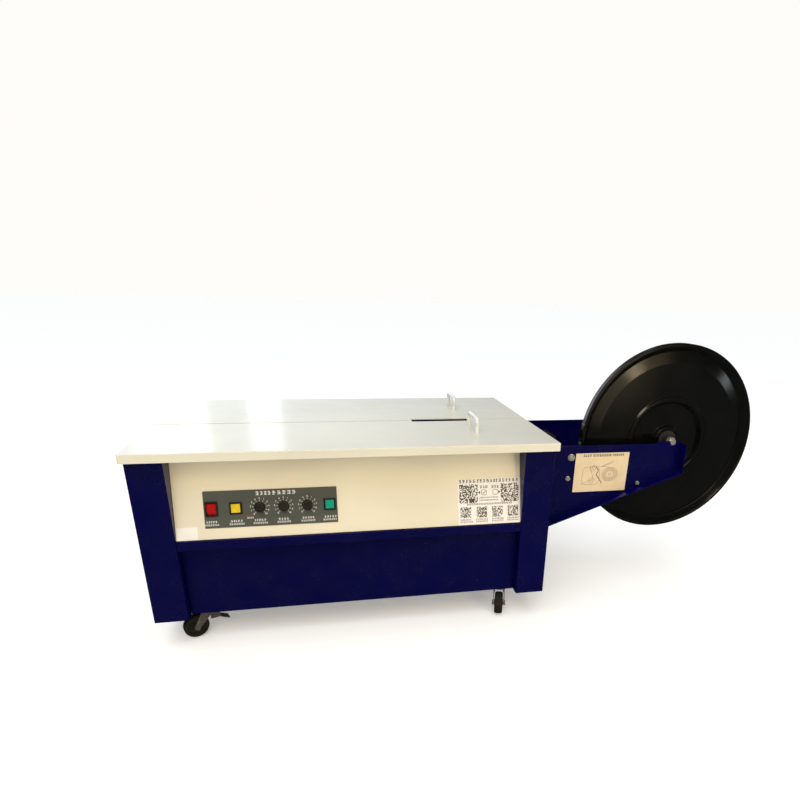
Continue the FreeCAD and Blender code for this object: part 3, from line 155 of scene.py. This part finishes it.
def on_slope(across, up, out=0.0):
    """A plane on the sloping panel: X across, Y up the slope, Z outwards."""
    base = Matrix.Translation(place(across, PANEL_BACK, PANEL_DOWN))
    turn = Matrix.Rotation(math.pi / 2 - PANEL_TILT, 4, "X")
    return base @ turn @ Matrix.Translation((0, up, out))


def on_front(along, back, down):
    """An upright plane that faces the operator: X along, Y up, Z towards the operator."""
    return Matrix.Translation(place(along, back, down)) @ Matrix.Rotation(math.pi / 2, 4, "X")


# ---- material kit --------------------------------------------------------------------------

def new_material(name):
    """A material with its node tree and its one shader."""
    material = bpy.data.materials.new(name)
    material.use_nodes = True
    tree = material.node_tree
    return material, tree, tree.nodes["Principled BSDF"]


def coordinates(tree, scale=(1, 1, 1), offset=(0, 0, 0)):
    """The piece's own coordinates in metres, stretched and moved."""
    source = tree.nodes.new("ShaderNodeTexCoord")
    mapping = tree.nodes.new("ShaderNodeMapping")
    mapping.inputs["Scale"].default_value = scale
    mapping.inputs["Location"].default_value = offset
    tree.links.new(source.outputs["Object"], mapping.inputs["Vector"])
    return mapping.outputs["Vector"]


def noise(tree, vector, scale, detail, roughness=0.5):
    """Cloudy noise, 0 to 1."""
    node = tree.nodes.new("ShaderNodeTexNoise")
    node.inputs["Scale"].default_value = scale
    node.inputs["Detail"].default_value = detail
    node.inputs["Roughness"].default_value = roughness
    tree.links.new(vector, node.inputs["Vector"])
    return node.outputs["Fac"]


def remap(tree, value, low, high, to_low, to_high):
    """A value's range moved to another, with the ends held."""
    node = tree.nodes.new("ShaderNodeMapRange")
    node.inputs["From Min"].default_value = low
    node.inputs["From Max"].default_value = high
    node.inputs["To Min"].default_value = to_low
    node.inputs["To Max"].default_value = to_high
    tree.links.new(value, node.inputs["Value"])
    return node.outputs["Result"]


def arithmetic(tree, operation, first, second):
    """One sum on two values or numbers."""
    node = tree.nodes.new("ShaderNodeMath")
    node.operation = operation
    for socket, value in zip(node.inputs, (first, second)):
        if isinstance(value, (int, float)):
            socket.default_value = value
        else:
            tree.links.new(value, socket)
    return node.outputs["Value"]


def blend_colours(tree, factor, first, second):
    """A mix of two colours, each a triple or another node's output."""
    node = tree.nodes.new("ShaderNodeMix")
    node.data_type = "RGBA"
    tree.links.new(factor, node.inputs["Factor"])
    for socket, value in ((node.inputs[6], first), (node.inputs[7], second)):
        if isinstance(value, tuple):
            socket.default_value = (*value, 1)
        else:
            tree.links.new(value, socket)
    return node.outputs[2]


def shade(colour, factor):
    """A colour made lighter or darker."""
    return tuple(min(1.0, channel * factor) for channel in colour)


def add_bump(tree, shader, height, distance, strength, under=None):
    """Relief on the shader's normal, in metres, over an earlier relief if there is one."""
    node = tree.nodes.new("ShaderNodeBump")
    node.inputs["Distance"].default_value = distance
    node.inputs["Strength"].default_value = strength
    tree.links.new(height, node.inputs["Height"])
    if under is not None:
        tree.links.new(under, node.inputs["Normal"])
    tree.links.new(node.outputs["Normal"], shader.inputs["Normal"])
    return node.outputs["Normal"]


# ---- materials -----------------------------------------------------------------------------

BLUE_DUST = (0.02, 0.02, 0.06)
CREAM_DUST = (0.50, 0.44, 0.34)
BLACK_DUST = (0.06, 0.055, 0.045)
TREAD_DUST = (0.10, 0.085, 0.06)


def enamel(name, colour, roughness, coat, specular, dust_colour, dust):
    """Baked enamel on sheet steel: slight orange peel, uneven gloss, and a film of dust."""
    material, tree, shader = new_material(name)
    here = coordinates(tree)
    tone = remap(tree, noise(tree, here, 3.0, 3.0), 0.3, 0.7, 0.0, 1.0)
    painted = blend_colours(tree, tone, shade(colour, 0.93), shade(colour, 1.07))
    specks = remap(tree, noise(tree, here, 1100.0, 1.0), 0.68, 0.8, 0.0, dust)
    smears = remap(tree, noise(tree, coordinates(tree, (1, 1, 3)), 9.0, 3.0), 0.45, 0.8, 0.0, dust)
    film = arithmetic(tree, "MAXIMUM", specks, smears)
    tree.links.new(blend_colours(tree, film, painted, dust_colour), shader.inputs["Base Color"])
    handled = remap(tree, noise(tree, here, 16.0, 4.0, 0.55), 0.35, 0.75, roughness * 0.8, roughness * 1.4)
    tree.links.new(handled, shader.inputs["Roughness"])
    shader.inputs["Specular IOR Level"].default_value = specular
    shader.inputs["Coat Weight"].default_value = coat
    shader.inputs["Coat Roughness"].default_value = 0.14
    peel = add_bump(tree, shader, noise(tree, here, 420.0, 2.0), 0.00002, 0.5)
    add_bump(tree, shader, noise(tree, here, 6.0, 1.0), 0.0006, 0.3, peel)
    return material


def rolled_enamel(name, colour, roughness):
    """Black enamel on a spun disc: faint rings from the forming roller under the gloss."""
    material, tree, shader = new_material(name)
    here = coordinates(tree, offset=(-REEL_CENTRE.x, 0, -REEL_CENTRE.z))
    rings = tree.nodes.new("ShaderNodeTexWave")
    rings.wave_type = "RINGS"
    rings.rings_direction = "Y"
    rings.inputs["Scale"].default_value = 55.0
    rings.inputs["Distortion"].default_value = 0.6
    rings.inputs["Detail"].default_value = 2.0
    tree.links.new(here, rings.inputs["Vector"])
    cloud = noise(tree, here, 9.0, 5.0, 0.6)
    tone = remap(tree, cloud, 0.3, 0.75, 0.0, 1.0)
    painted = blend_colours(tree, tone, shade(colour, 0.8), shade(colour, 1.5))
    specks = remap(tree, noise(tree, here, 700.0, 2.0), 0.66, 0.8, 0.0, 0.15)
    tree.links.new(blend_colours(tree, specks, painted, BLACK_DUST), shader.inputs["Base Color"])
    gloss = remap(tree, cloud, 0.3, 0.8, roughness * 0.8, roughness * 1.5)
    tree.links.new(gloss, shader.inputs["Roughness"])
    shader.inputs["Specular IOR Level"].default_value = 0.5
    peel = add_bump(tree, shader, noise(tree, here, 380.0, 2.0), 0.00003, 0.5)
    add_bump(tree, shader, rings.outputs["Fac"], 0.00005, 0.2, peel)
    return material


def plated_steel(name, colour, roughness, brushed=(1, 1, 1), metallic=1.0):
    """Plated or ground steel with fine directional lines and uneven tarnish."""
    material, tree, shader = new_material(name)
    shader.inputs["Metallic"].default_value = metallic
    lines = noise(tree, coordinates(tree, brushed), 600.0, 3.0)
    tarnish = noise(tree, coordinates(tree), 60.0, 4.0, 0.6)
    tone = remap(tree, tarnish, 0.35, 0.75, 0.0, 1.0)
    plated = blend_colours(tree, tone, shade(colour, 1.06), shade(colour, 0.72))
    tree.links.new(plated, shader.inputs["Base Color"])
    streaks = remap(tree, lines, 0.3, 0.7, roughness * 0.75, roughness * 1.4)
    tree.links.new(streaks, shader.inputs["Roughness"])
    add_bump(tree, shader, lines, 0.00004, 0.4)
    return material


def galvanised(name):
    """Zinc-coated sheet with its crystal spangle."""
    material, tree, shader = new_material(name)
    shader.inputs["Metallic"].default_value = 1.0
    cells = tree.nodes.new("ShaderNodeTexVoronoi")
    cells.inputs["Scale"].default_value = 110.0
    tree.links.new(coordinates(tree), cells.inputs["Vector"])
    tone = cells.outputs["Color"]
    zinc = blend_colours(tree, tone, (0.42, 0.44, 0.46), (0.62, 0.64, 0.66))
    tree.links.new(zinc, shader.inputs["Base Color"])
    tree.links.new(remap(tree, tone, 0.0, 1.0, 0.28, 0.52), shader.inputs["Roughness"])
    add_bump(tree, shader, cells.outputs["Distance"], 0.00003, 0.3)
    return material


def moulded(name, colour, roughness, grain, glow=0.0):
    """Moulded plastic with a fine spark-eroded grain and slightly uneven colour."""
    material, tree, shader = new_material(name)
    here = coordinates(tree)
    tone = remap(tree, noise(tree, here, 90.0, 4.0), 0.3, 0.7, 0.0, 1.0)
    tinted = blend_colours(tree, tone, shade(colour, 0.85), shade(colour, 1.12))
    tree.links.new(tinted, shader.inputs["Base Color"])
    worn = remap(tree, noise(tree, here, 240.0, 4.0), 0.3, 0.75, roughness * 0.85, roughness * 1.3)
    tree.links.new(worn, shader.inputs["Roughness"])
    shader.inputs["Subsurface Weight"].default_value = glow
    shader.inputs["Subsurface Radius"].default_value = (0.004, 0.003, 0.002)
    add_bump(tree, shader, noise(tree, here, 3200.0, 2.0), grain, 0.6)
    return material


def rubber(name, colour):
    """Rubber tread: matt, dusty, with a faint grain."""
    material, tree, shader = new_material(name)
    here = coordinates(tree)
    dusty = remap(tree, noise(tree, here, 120.0, 6.0, 0.7), 0.45, 0.8, 0.0, 0.3)
    tree.links.new(blend_colours(tree, dusty, colour, TREAD_DUST), shader.inputs["Base Color"])
    shader.inputs["Specular IOR Level"].default_value = 0.25
    shader.inputs["Roughness"].default_value = 0.62
    add_bump(tree, shader, noise(tree, here, 900.0, 4.0), 0.0001, 0.6)
    return material


def paper(name, colour):
    """Printed label stock: fibres, a slight sheen and a little yellowing."""
    material, tree, shader = new_material(name)
    here = coordinates(tree)
    fibres = noise(tree, coordinates(tree, (1, 1, 2.5)), 1500.0, 4.0)
    aged = remap(tree, noise(tree, here, 30.0, 4.0), 0.35, 0.75, 0.0, 1.0)
    tree.links.new(blend_colours(tree, aged, colour, shade(colour, 0.9)), shader.inputs["Base Color"])
    tree.links.new(remap(tree, fibres, 0.3, 0.7, 0.38, 0.55), shader.inputs["Roughness"])
    add_bump(tree, shader, fibres, 0.00002, 0.5)
    return material


def ink(name, colour):
    """Screen-printed ink, a little patchy."""
    material, tree, shader = new_material(name)
    patchy = remap(tree, noise(tree, coordinates(tree), 900.0, 3.0), 0.3, 0.7, 0.0, 1.0)
    printed = blend_colours(tree, patchy, shade(colour, 0.88), colour)
    tree.links.new(printed, shader.inputs["Base Color"])
    tree.links.new(remap(tree, patchy, 0.0, 1.0, 0.42, 0.6), shader.inputs["Roughness"])
    return material


CREAM_TABLE = enamel("cream_table_enamel", (0.765, 0.745, 0.62), 0.19, 0.8, 0.5, CREAM_DUST, 0.03)
BLUE = enamel("blue_enamel", (0.0009, 0.0010, 0.050), 0.24, 0.0, 0.22, BLUE_DUST, 0.010)
CREAM_PANEL = enamel("cream_panel_enamel", (0.79, 0.735, 0.575), 0.36, 0.1, 0.4, CREAM_DUST, 0.05)
GREY_PLATE = enamel("grey_control_plate", (0.078, 0.086, 0.074), 0.36, 0.0, 0.4, CREAM_DUST, 0.03)
CAST_GREY = enamel("cast_motor_grey", (0.16, 0.18, 0.20), 0.5, 0.0, 0.5, CREAM_DUST, 0.2)

MATERIALS = {
    "cream_table_enamel": CREAM_TABLE,
    "blue_enamel": BLUE,
    "cream_panel_enamel": CREAM_PANEL,
    "grey_control_plate": GREY_PLATE,
    "cast_motor_grey": CAST_GREY,
    "black_enamel": rolled_enamel("black_enamel", (0.0026, 0.0030, 0.0030), 0.15),
    "zinc_steel": plated_steel("zinc_steel", (0.80, 0.80, 0.77), 0.25, metallic=0.8),
    # The stop bars' chrome is a near-white, barely metallic colour: a painted reflection of bright
    # surroundings, tinted cool to offset the warm lamps.
    "chrome_bar": plated_steel("chrome_bar", (0.90, 0.95, 1.0), 0.14, metallic=0.1),
    "machined_steel": plated_steel("machined_steel", (0.50, 0.50, 0.50), 0.30, (1, 1, 8)),
    "dark_steel": plated_steel("dark_steel", (0.20, 0.19, 0.17), 0.28, metallic=0.6),
    "galvanised_sheet": galvanised("galvanised_sheet"),
    "black_plastic": moulded("black_plastic", (0.020, 0.016, 0.013), 0.28, 0.00002),
    "red_lit_plastic": moulded("red_lit_plastic", (0.40, 0.006, 0.004), 0.18, 0.00001, 0.1),
    "yellow_plastic": moulded("yellow_plastic", (0.74, 0.54, 0.016), 0.30, 0.00002, 0.1),
    "green_plastic": moulded("green_plastic", (0.001, 0.32, 0.205), 0.30, 0.00002, 0.05),
    "dark_nylon": moulded("dark_nylon", (0.020, 0.020, 0.022), 0.45, 0.00003),
    "control_box_grey": moulded("control_box_grey", (0.30, 0.31, 0.32), 0.5, 0.00008),
    "feed_rubber": rubber("feed_rubber", (0.020, 0.020, 0.020)),
    "castor_tread": rubber("castor_tread", (0.014, 0.013, 0.011)),
}
WHITE_PAPER = paper("white_paper", (0.90, 0.88, 0.83))
TAN_PAPER = paper("tan_paper", (0.77, 0.625, 0.41))
WHITE_INK = ink("white_ink", (0.86, 0.86, 0.82))
DARK_INK = ink("dark_ink", (0.040, 0.028, 0.018))
RED_INK = ink("red_ink", (0.42, 0.030, 0.022))
RED_BROWN_INK = ink("red_brown_ink", (0.16, 0.060, 0.040))
BROWN_INK = ink("brown_ink", (0.33, 0.235, 0.145))


def dress_cad_nodes():
    """Each CAD node takes its slot's material and slightly rounded edges."""
    for row in frame["record"]["subparts"]:
        node = frame["nodes"][row["node"]]
        node.data.materials.clear()
        node.data.materials.append(MATERIALS[row["material_slot"]])
        if row["node"] in FLAT_SHEETS:
            continue
        weld = node.modifiers.new("weld", "WELD")
        weld.merge_threshold = 0.000002
        rounding = node.modifiers.new("rounding", "BEVEL")
        rounding.width = EDGE_ROUND
        rounding.segments = 2
        rounding.limit_method = "ANGLE"
        rounding.angle_limit = math.radians(40)
        rounding.use_clamp_overlap = True
        node.modifiers.new("normals", "WEIGHTED_NORMAL")


# ---- printed pieces ------------------------------------------------------------------------

def finish_piece(name, bm, plane, material):
    """A mesh made in a plane's own coordinates, placed, painted and riding on the cabinet."""
    mesh = bpy.data.meshes.new(name)
    bmesh.ops.recalc_face_normals(bm, faces=bm.faces)
    bm.to_mesh(mesh)
    bm.free()
    piece = bpy.data.objects.new(name, mesh)
    bpy.context.scene.collection.objects.link(piece)
    piece.matrix_world = plane
    mesh.materials.append(material)
    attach(piece, "cabinet")


def add_prism(bm, outline, thickness):
    """A closed slab that stands on the plane, with any outline of (x, y) points."""
    bottom = [bm.verts.new((x, y, 0.0)) for x, y in outline]
    top = [bm.verts.new((x, y, thickness)) for x, y in outline]
    bm.faces.new(bottom[::-1])
    bm.faces.new(top)
    for i in range(len(outline)):
        following = (i + 1) % len(outline)
        bm.faces.new((bottom[i], bottom[following], top[following], top[i]))


def add_bar(bm, x, y, width, height):
    """A small printed rectangle from its lower-left corner."""
    outline = [(x, y), (x + width, y), (x + width, y + height), (x, y + height)]
    add_prism(bm, outline, INK)


def rounded_outline(width, height, radius):
    """A rectangle with round corners, centred on the origin."""
    points = []
    for corner in range(4):
        angle = corner * math.pi / 2
        sign_x = 1 if corner in (0, 3) else -1
        sign_y = 1 if corner in (0, 1) else -1
        centre_x = sign_x * (width / 2 - radius)
        centre_y = sign_y * (height / 2 - radius)
        for step in range(CORNER_STEPS + 1):
            turn = angle + math.pi / 2 * step / CORNER_STEPS
            points.append((centre_x + radius * math.cos(turn), centre_y + radius * math.sin(turn)))
    return points


def label_sheet(name, width, height, plane, material):
    """A thin printed sheet with round corners, centred on the plane."""
    bm = bmesh.new()
    add_prism(bm, rounded_outline(width, height, LABEL_CORNER), LABEL_SHEET)
    finish_piece(name, bm, plane, material)


def add_greeked_line(bm, draw, x, y, length, height, gap=0.15):
    """A line of small unreadable strokes that stands for words."""
    end = x + length
    while x < end - height * 0.5:
        width = height * draw.choice((0.75, 0.9, 1.0))
        add_bar(bm, x, y, width * draw.uniform(0.6, 0.95), height * 0.2)
        add_bar(bm, x + width * 0.08, y + height * draw.uniform(0.34, 0.5), width * 0.8, height * 0.18)
        add_bar(bm, x + width * draw.uniform(0.1, 0.65), y + height * 0.2, height * 0.18, height * 0.62)
        add_bar(bm, x, y + height * 0.8, width * draw.uniform(0.6, 0.95), height * 0.2)
        x += width * (1 + gap)


def add_square_mosaic(bm, draw, x, y, size, cells):
    """A square patch of random small squares that carries no code."""
    cell = size / cells
    for row in range(cells):
        for column in range(cells):
            if draw.random() < MOSAIC_FILL:
                side = cell * MOSAIC_SQUARE
                add_bar(bm, x + column * cell, y + row * cell, side, side)


def add_ring(bm, x, y, radius_x, radius_y, width):
    """A printed elliptical line."""
    inner = []
    outer = []
    for i in range(RING_STEPS):
        angle = 2 * math.pi * i / RING_STEPS
        inner.append((x + (radius_x - width) * math.cos(angle), y + (radius_y - width) * math.sin(angle)))
        outer.append((x + radius_x * math.cos(angle), y + radius_y * math.sin(angle)))
    for i in range(RING_STEPS):
        following = (i + 1) % RING_STEPS
        add_prism(bm, [inner[i], outer[i], outer[following], inner[following]], INK)


def add_stroke(bm, start, end, width):
    """A printed straight line."""
    run = Vector(end) - Vector(start)
    side = Vector((-run.y, run.x)).normalized() * width / 2
    corners = [Vector(start) + side, Vector(start) - side, Vector(end) - side, Vector(end) + side]
    add_prism(bm, corners, INK)


def add_path(bm, points, width):
    """Printed straight lines from point to point."""
    for start, end in zip(points, points[1:]):
        add_stroke(bm, start, end, width)


def control_captions():
    """Marks on the control plate: a title, two lines under each control, and a short white line
    and a red one by the first dial."""
    draw = random.Random(4)
    bm = bmesh.new()
    for across in CONTROLS_ACROSS:
        for half_length, up, height, gap in CAPTION_ROWS:
            add_greeked_line(bm, draw, across - half_length, up, 2 * half_length, height, gap)
    add_greeked_line(bm, draw, *PLATE_TITLE, gap=0.3)
    add_greeked_line(bm, draw, *DIAL_NOTE)
    face = on_slope(0, 0, PLATE_OUT)
    finish_piece("control_captions", bm, face, WHITE_INK)
    bm = bmesh.new()
    add_greeked_line(bm, draw, *RED_NOTE)
    finish_piece("red_caption", bm, face, RED_INK)


def dial_angle(tick):
    """The direction of a tick from its knob's centre, going clockwise from the lower left."""
    return math.pi / 2 + DIAL_SWEEP / 2 - DIAL_SWEEP * tick / (DIAL_TICKS - 1)


def dial_scale(index, across):
    """Ticks and numbers 0 to 10 round one knob."""
    bm = bmesh.new()
    for tick in range(DIAL_TICKS):
        angle = dial_angle(tick)
        toward = Vector((math.cos(angle), math.sin(angle)))
        add_stroke(bm, toward * TICK_INNER, toward * (TICK_INNER + TICK_LENGTH), TICK_WIDTH)
    plane = on_slope(across, CONTROL_ROW, PLATE_OUT)
    finish_piece(f"dial_ticks_{index}", bm, plane, WHITE_INK)
    for tick in range(DIAL_TICKS):
        dial_number(index, tick, plane)


def dial_number(index, tick, plane):
    """One number on a dial, as a mesh."""
    angle = dial_angle(tick)
    curve = bpy.data.curves.new(f"dial_number_{index}_{tick}", "FONT")
    curve.body = str(tick)
    curve.size = NUMERAL_SIZE
    curve.align_x = "CENTER"
    curve.align_y = "CENTER"
    curve.extrude = INK / 2
    curve.offset = NUMERAL_WEIGHT
    letter = bpy.data.objects.new("letter", curve)
    bpy.context.scene.collection.objects.link(letter)
    bpy.context.view_layer.update()
    mesh = bpy.data.meshes.new_from_object(letter)
    bpy.data.objects.remove(letter)
    number = bpy.data.objects.new(f"dial_number_{index}_{tick}", mesh)
    bpy.context.scene.collection.objects.link(number)
    spot = (NUMERAL_RADIUS * math.cos(angle), NUMERAL_RADIUS * math.sin(angle), INK / 2)
    number.matrix_world = plane @ Matrix.Translation(spot)
    mesh.materials.clear()
    mesh.materials.append(WHITE_INK)
    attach(number, "cabinet")


def blank_sticker():
    """A plain white sticker at the panel's lower left."""
    plane = on_slope(STICKER_ACROSS + STICKER_WIDTH / 2, STICKER_HEIGHT / 2 + LABEL_GAP)
    label_sheet("blank_sticker", STICKER_WIDTH, STICKER_HEIGHT, plane, WHITE_PAPER)


def notice_sheet():
    """An instruction sheet with unreadable lines and mosaics in place of its print."""
    plane = on_slope(NOTICE_ACROSS + NOTICE_WIDTH / 2, NOTICE_HEIGHT / 2 + LABEL_GAP)
    label_sheet("notice_sheet", NOTICE_WIDTH, NOTICE_HEIGHT, plane, WHITE_PAPER)
    draw = random.Random(11)
    bm = bmesh.new()
    left = -NOTICE_WIDTH / 2
    low = -NOTICE_HEIGHT / 2
    add_greeked_line(bm, draw, left + 0.002, low + 0.0965, 0.143, 0.0072, 0.25)
    for x in (0.003, 0.101):
        add_square_mosaic(bm, draw, left + x, low + 0.050, BIG_MOSAIC, BIG_MOSAIC_CELLS)
    add_pictograms(bm, draw, left, low + PICTOGRAM_UP)
    for up in (0.060, 0.054):
        add_greeked_line(bm, draw, left + 0.050, low + up, 0.046, 0.0030)
    add_greeked_line(bm, draw, left + 0.020, low + 0.0450, 0.108, 0.0040)
    for column in range(NOTICE_COLUMNS):
        x = left + notice_column(column)
        add_square_mosaic(bm, draw, x, low + 0.0160, SMALL_MOSAIC, SMALL_MOSAIC_CELLS)
    top = plane @ Matrix.Translation((0, 0, LABEL_SHEET))
    finish_piece("notice_print", bm, top, DARK_INK)
    bm = bmesh.new()
    for column in range(NOTICE_COLUMNS):
        for up in (0.0100, 0.0050):
            add_greeked_line(bm, draw, left + notice_column(column) - 0.001, low + up, 0.028, 0.0034)
    finish_piece("notice_small_print", bm, top, RED_BROWN_INK)


def notice_column(column):
    """How far across the notice one of its columns starts."""
    return COLUMN_START + column * COLUMN_PITCH


def add_pictograms(bm, draw, left, middle):
    """Two captioned round-cornered boxes, the first one ticked, between two arrowheads."""
    for x in (0.052, 0.079):
        add_greeked_line(bm, draw, left + x, middle + 0.0095, 0.018, 0.0062, 0.2)
        add_round_box(bm, left + x + 0.009, middle, PICTOGRAM_SIZE, DRAWN_LINE)
    tick = left + 0.061
    check_mark = [(-0.0032, 0.0), (-0.0010, -0.0026), (0.0036, 0.0030)]
    add_path(bm, [(tick + a, middle + b) for a, b in check_mark], CHECK_LINE)
    for x, side in ((0.0490, -1), (0.0980, 1)):
        tip = left + x + side * 0.0022
        back = left + x - side * 0.0028
        arrowhead = [(tip, middle), (back, middle + side * 0.0038), (back, middle - side * 0.0038)]
        add_prism(bm, arrowhead, INK)


def add_round_box(bm, x, y, size, line):
    """The outline of a square with round corners, centred on a point."""
    outer = rounded_outline(size, size, size * 0.25)
    inner = rounded_outline(size - 2 * line, size - 2 * line, size * 0.25 - line)
    count = len(outer)
    for i in range(count):
        following = (i + 1) % count
        corners = (inner[i], outer[i], outer[following], inner[following])
        add_prism(bm, [(x + a, y + b) for a, b in corners], INK)


def arm_label():
    """The arm's label: a title of unreadable strokes over a line drawing of the strap's way from a
    coil past two rollers."""
    centre = (LABEL_ALONG + LABEL_WIDTH / 2, ARM_FACE_BACK, LABEL_DOWN + LABEL_HEIGHT / 2)
    plane = on_front(*centre)
    label_sheet("arm_label", LABEL_WIDTH, LABEL_HEIGHT, plane, TAN_PAPER)
    top = plane @ Matrix.Translation((0, 0, LABEL_SHEET))
    bm = bmesh.new()
    draw = random.Random(7)
    for start, length in ((-0.050, 0.020), (-0.026, 0.048), (0.026, 0.032)):
        add_greeked_line(bm, draw, start, 0.0400, length, 0.0058, 0.05)
    strap = [(-0.014, 0.014), (-0.007, 0.005), (-0.012, -0.006), (-0.003, -0.017), (0.005, -0.029)]
    add_path(bm, strap, STRAP_LINE)
    finish_piece("arm_label_title", bm, top, DARK_INK)
    bm = bmesh.new()
    for radius in COIL_RADII:
        add_ring(bm, *COIL_CENTRE, radius, radius * COIL_FLATTENED, DRAWN_LINE)
    for x, y in ROLLER_CENTRES:
        for radius in ROLLER_RADII:
            add_ring(bm, x, y, radius, radius, DRAWN_LINE)
    add_round_box(bm, -0.026, -0.008, 0.046, DRAWN_LINE)
    outline = [(0.028, 0.011), (-0.020, 0.0175), (-0.030, 0.012), (-0.018, -0.016), (-0.052, -0.030)]
    add_path(bm, outline, DRAWN_LINE)
    for slant in (0.008, 0.004):
        add_stroke(bm, (0.0, 0.014), (0.030, 0.020 + slant), DRAWN_LINE)
    finish_piece("arm_label_drawing", bm, top, BROWN_INK)


# ---- stage ---------------------------------------------------------------------------------

def floor():
    """A wide pale floor, lifted towards white for the eye and dimmer where gloss mirrors it."""
    bm = bmesh.new()
    bmesh.ops.create_grid(bm, x_segments=1, y_segments=1, size=FLOOR_REACH)
    mesh = bpy.data.meshes.new("floor")
    bm.to_mesh(mesh)
    bm.free()
    plane = bpy.data.objects.new("floor", mesh)
    bpy.context.scene.collection.objects.link(plane)
    material, tree, shader = new_material("floor")
    path = tree.nodes.new("ShaderNodeLightPath")
    seen = blend_colours(tree, path.outputs["Is Glossy Ray"], FLOOR_COLOUR, FLOOR_IN_GLOSS)
    tree.links.new(seen, shader.inputs["Base Color"])
    glow = remap(tree, path.outputs["Is Camera Ray"], 0.0, 1.0, 0.0, FLOOR_GLOW)
    tree.links.new(glow, shader.inputs["Emission Strength"])
    shader.inputs["Emission Color"].default_value = (1.0, 1.0, 1.0, 1.0)
    shader.inputs["Roughness"].default_value = 0.8
    shader.inputs["Specular IOR Level"].default_value = 0.1
    mesh.materials.append(material)


def world_light(fill, in_gloss, backdrop):
    """A dim surround, dimmer still where gloss mirrors it, with a near-white backdrop for the eye."""
    world = bpy.data.worlds.new("surround")
    world.use_nodes = True
    tree = world.node_tree
    background = tree.nodes["Background"]
    background.inputs["Color"].default_value = (*SURROUND_COLOUR, 1)
    path = tree.nodes.new("ShaderNodeLightPath")
    lit = remap(tree, path.outputs["Is Glossy Ray"], 0.0, 1.0, fill, in_gloss)
    seen = remap(tree, path.outputs["Is Camera Ray"], 0.0, 1.0, 0.0, backdrop)
    tree.links.new(arithmetic(tree, "MAXIMUM", lit, seen), background.inputs["Strength"])
    bpy.context.scene.world = world


def sky_panel(strength, angle):
    """A broad soft light from above, like a lit ceiling."""
    data = bpy.data.lights.new("sky_panel", "SUN")
    data.energy = strength
    data.angle = math.radians(angle)
    data.color = SKY_COLOUR
    light = bpy.data.objects.new("sky_panel", data)
    bpy.context.scene.collection.objects.link(light)
    light.rotation_euler = (math.radians(14), math.radians(-10), 0)
    light.visible_glossy = False


def softbox(name, location, target, size, power, colour, spread=math.pi, mirrored=True):
    """A rectangular studio light aimed at a point. The camera doesn't see it, but gloss may."""
    data = bpy.data.lights.new(name, "AREA")
    data.shape = "RECTANGLE"
    data.size, data.size_y = size
    data.energy = power
    data.color = colour
    data.spread = spread
    light = bpy.data.objects.new(name, data)
    light.visible_camera = False
    light.visible_glossy = mirrored
    bpy.context.scene.collection.objects.link(light)
    light.location = location
    light.rotation_euler = (Vector(target) - Vector(location)).to_track_quat("-Z", "Y").to_euler()


def studio_lights():
    """Soft light from above and in front, and lamps that stand where the reel and the table mirror
    them towards the camera."""
    world_light(fill=0.3, in_gloss=0.04, backdrop=1.0)
    sky_panel(strength=2.0, angle=60)
    softbox("key", (-0.9, -2.5, 1.9), CABINET_MIDDLE, (1.4, 1.0), 13, WARM, mirrored=False)
    softbox("fill", (1.0, -2.6, 1.15), REEL_CENTRE, (0.8, 0.55), 11, WARM, mirrored=False)
    softbox("spark", (-0.6, -2.6, 2.3), REEL_CENTRE, (0.8, 0.9), 13, WARM)
    softbox("reel_card", (1.05, -2.6, 0.78), REEL_CENTRE, (1.4, 1.4), 5, BROWN)
    softbox("reel_lamp", (1.05, -2.55, 1.14), REEL_CENTRE, (0.30, 0.22), 1.6, BROWN)
    softbox("side_lamp", (3.07, -1.9, 0.83), REEL_CENTRE, (0.10, 0.28), 0.7, COOL)
    softbox("back_wall", (-0.6, 4.2, 1.7), (0.9, 0, 0.9), (7.0, 2.6), 18, COOL, math.radians(100))
    softbox("left_window", (-1.75, 4.1, 1.5), (-0.6, 0, 0.45), (0.62, 1.9), 2.4, COOL)
    softbox("right_window", (-0.93, 4.1, 1.5), (-0.4, 0, 0.45), (0.28, 1.9), 1.1, COOL)


def camera():
    """The camera at the operator's left, a little above the table."""
    data = bpy.data.cameras.new("camera")
    data.sensor_width = 36.0
    data.lens = CAMERA_LENS
    data.shift_x = CAMERA_SHIFT[0]
    data.shift_y = CAMERA_SHIFT[1]
    data.clip_start = 0.01
    data.clip_end = 100.0
    eye = bpy.data.objects.new("camera", data)
    bpy.context.scene.collection.objects.link(eye)
    right = Vector(CAMERA_RIGHT).normalized()
    forward = Vector(CAMERA_FORWARD).normalized()
    above = right.cross(forward).normalized()
    turn = Matrix((right, above, -forward)).transposed().to_4x4()
    eye.matrix_world = Matrix.Translation(CAMERA_AT) @ turn
    bpy.context.scene.camera = eye


# ---- make everything -----------------------------------------------------------------------

dress_cad_nodes()
control_captions()
for index, across in enumerate(DIALS_ACROSS):
    dial_scale(index + 1, across)
blank_sticker()
notice_sheet()
arm_label()
floor()
studio_lights()
camera()
bpy.context.scene.view_settings.view_transform = "Standard"
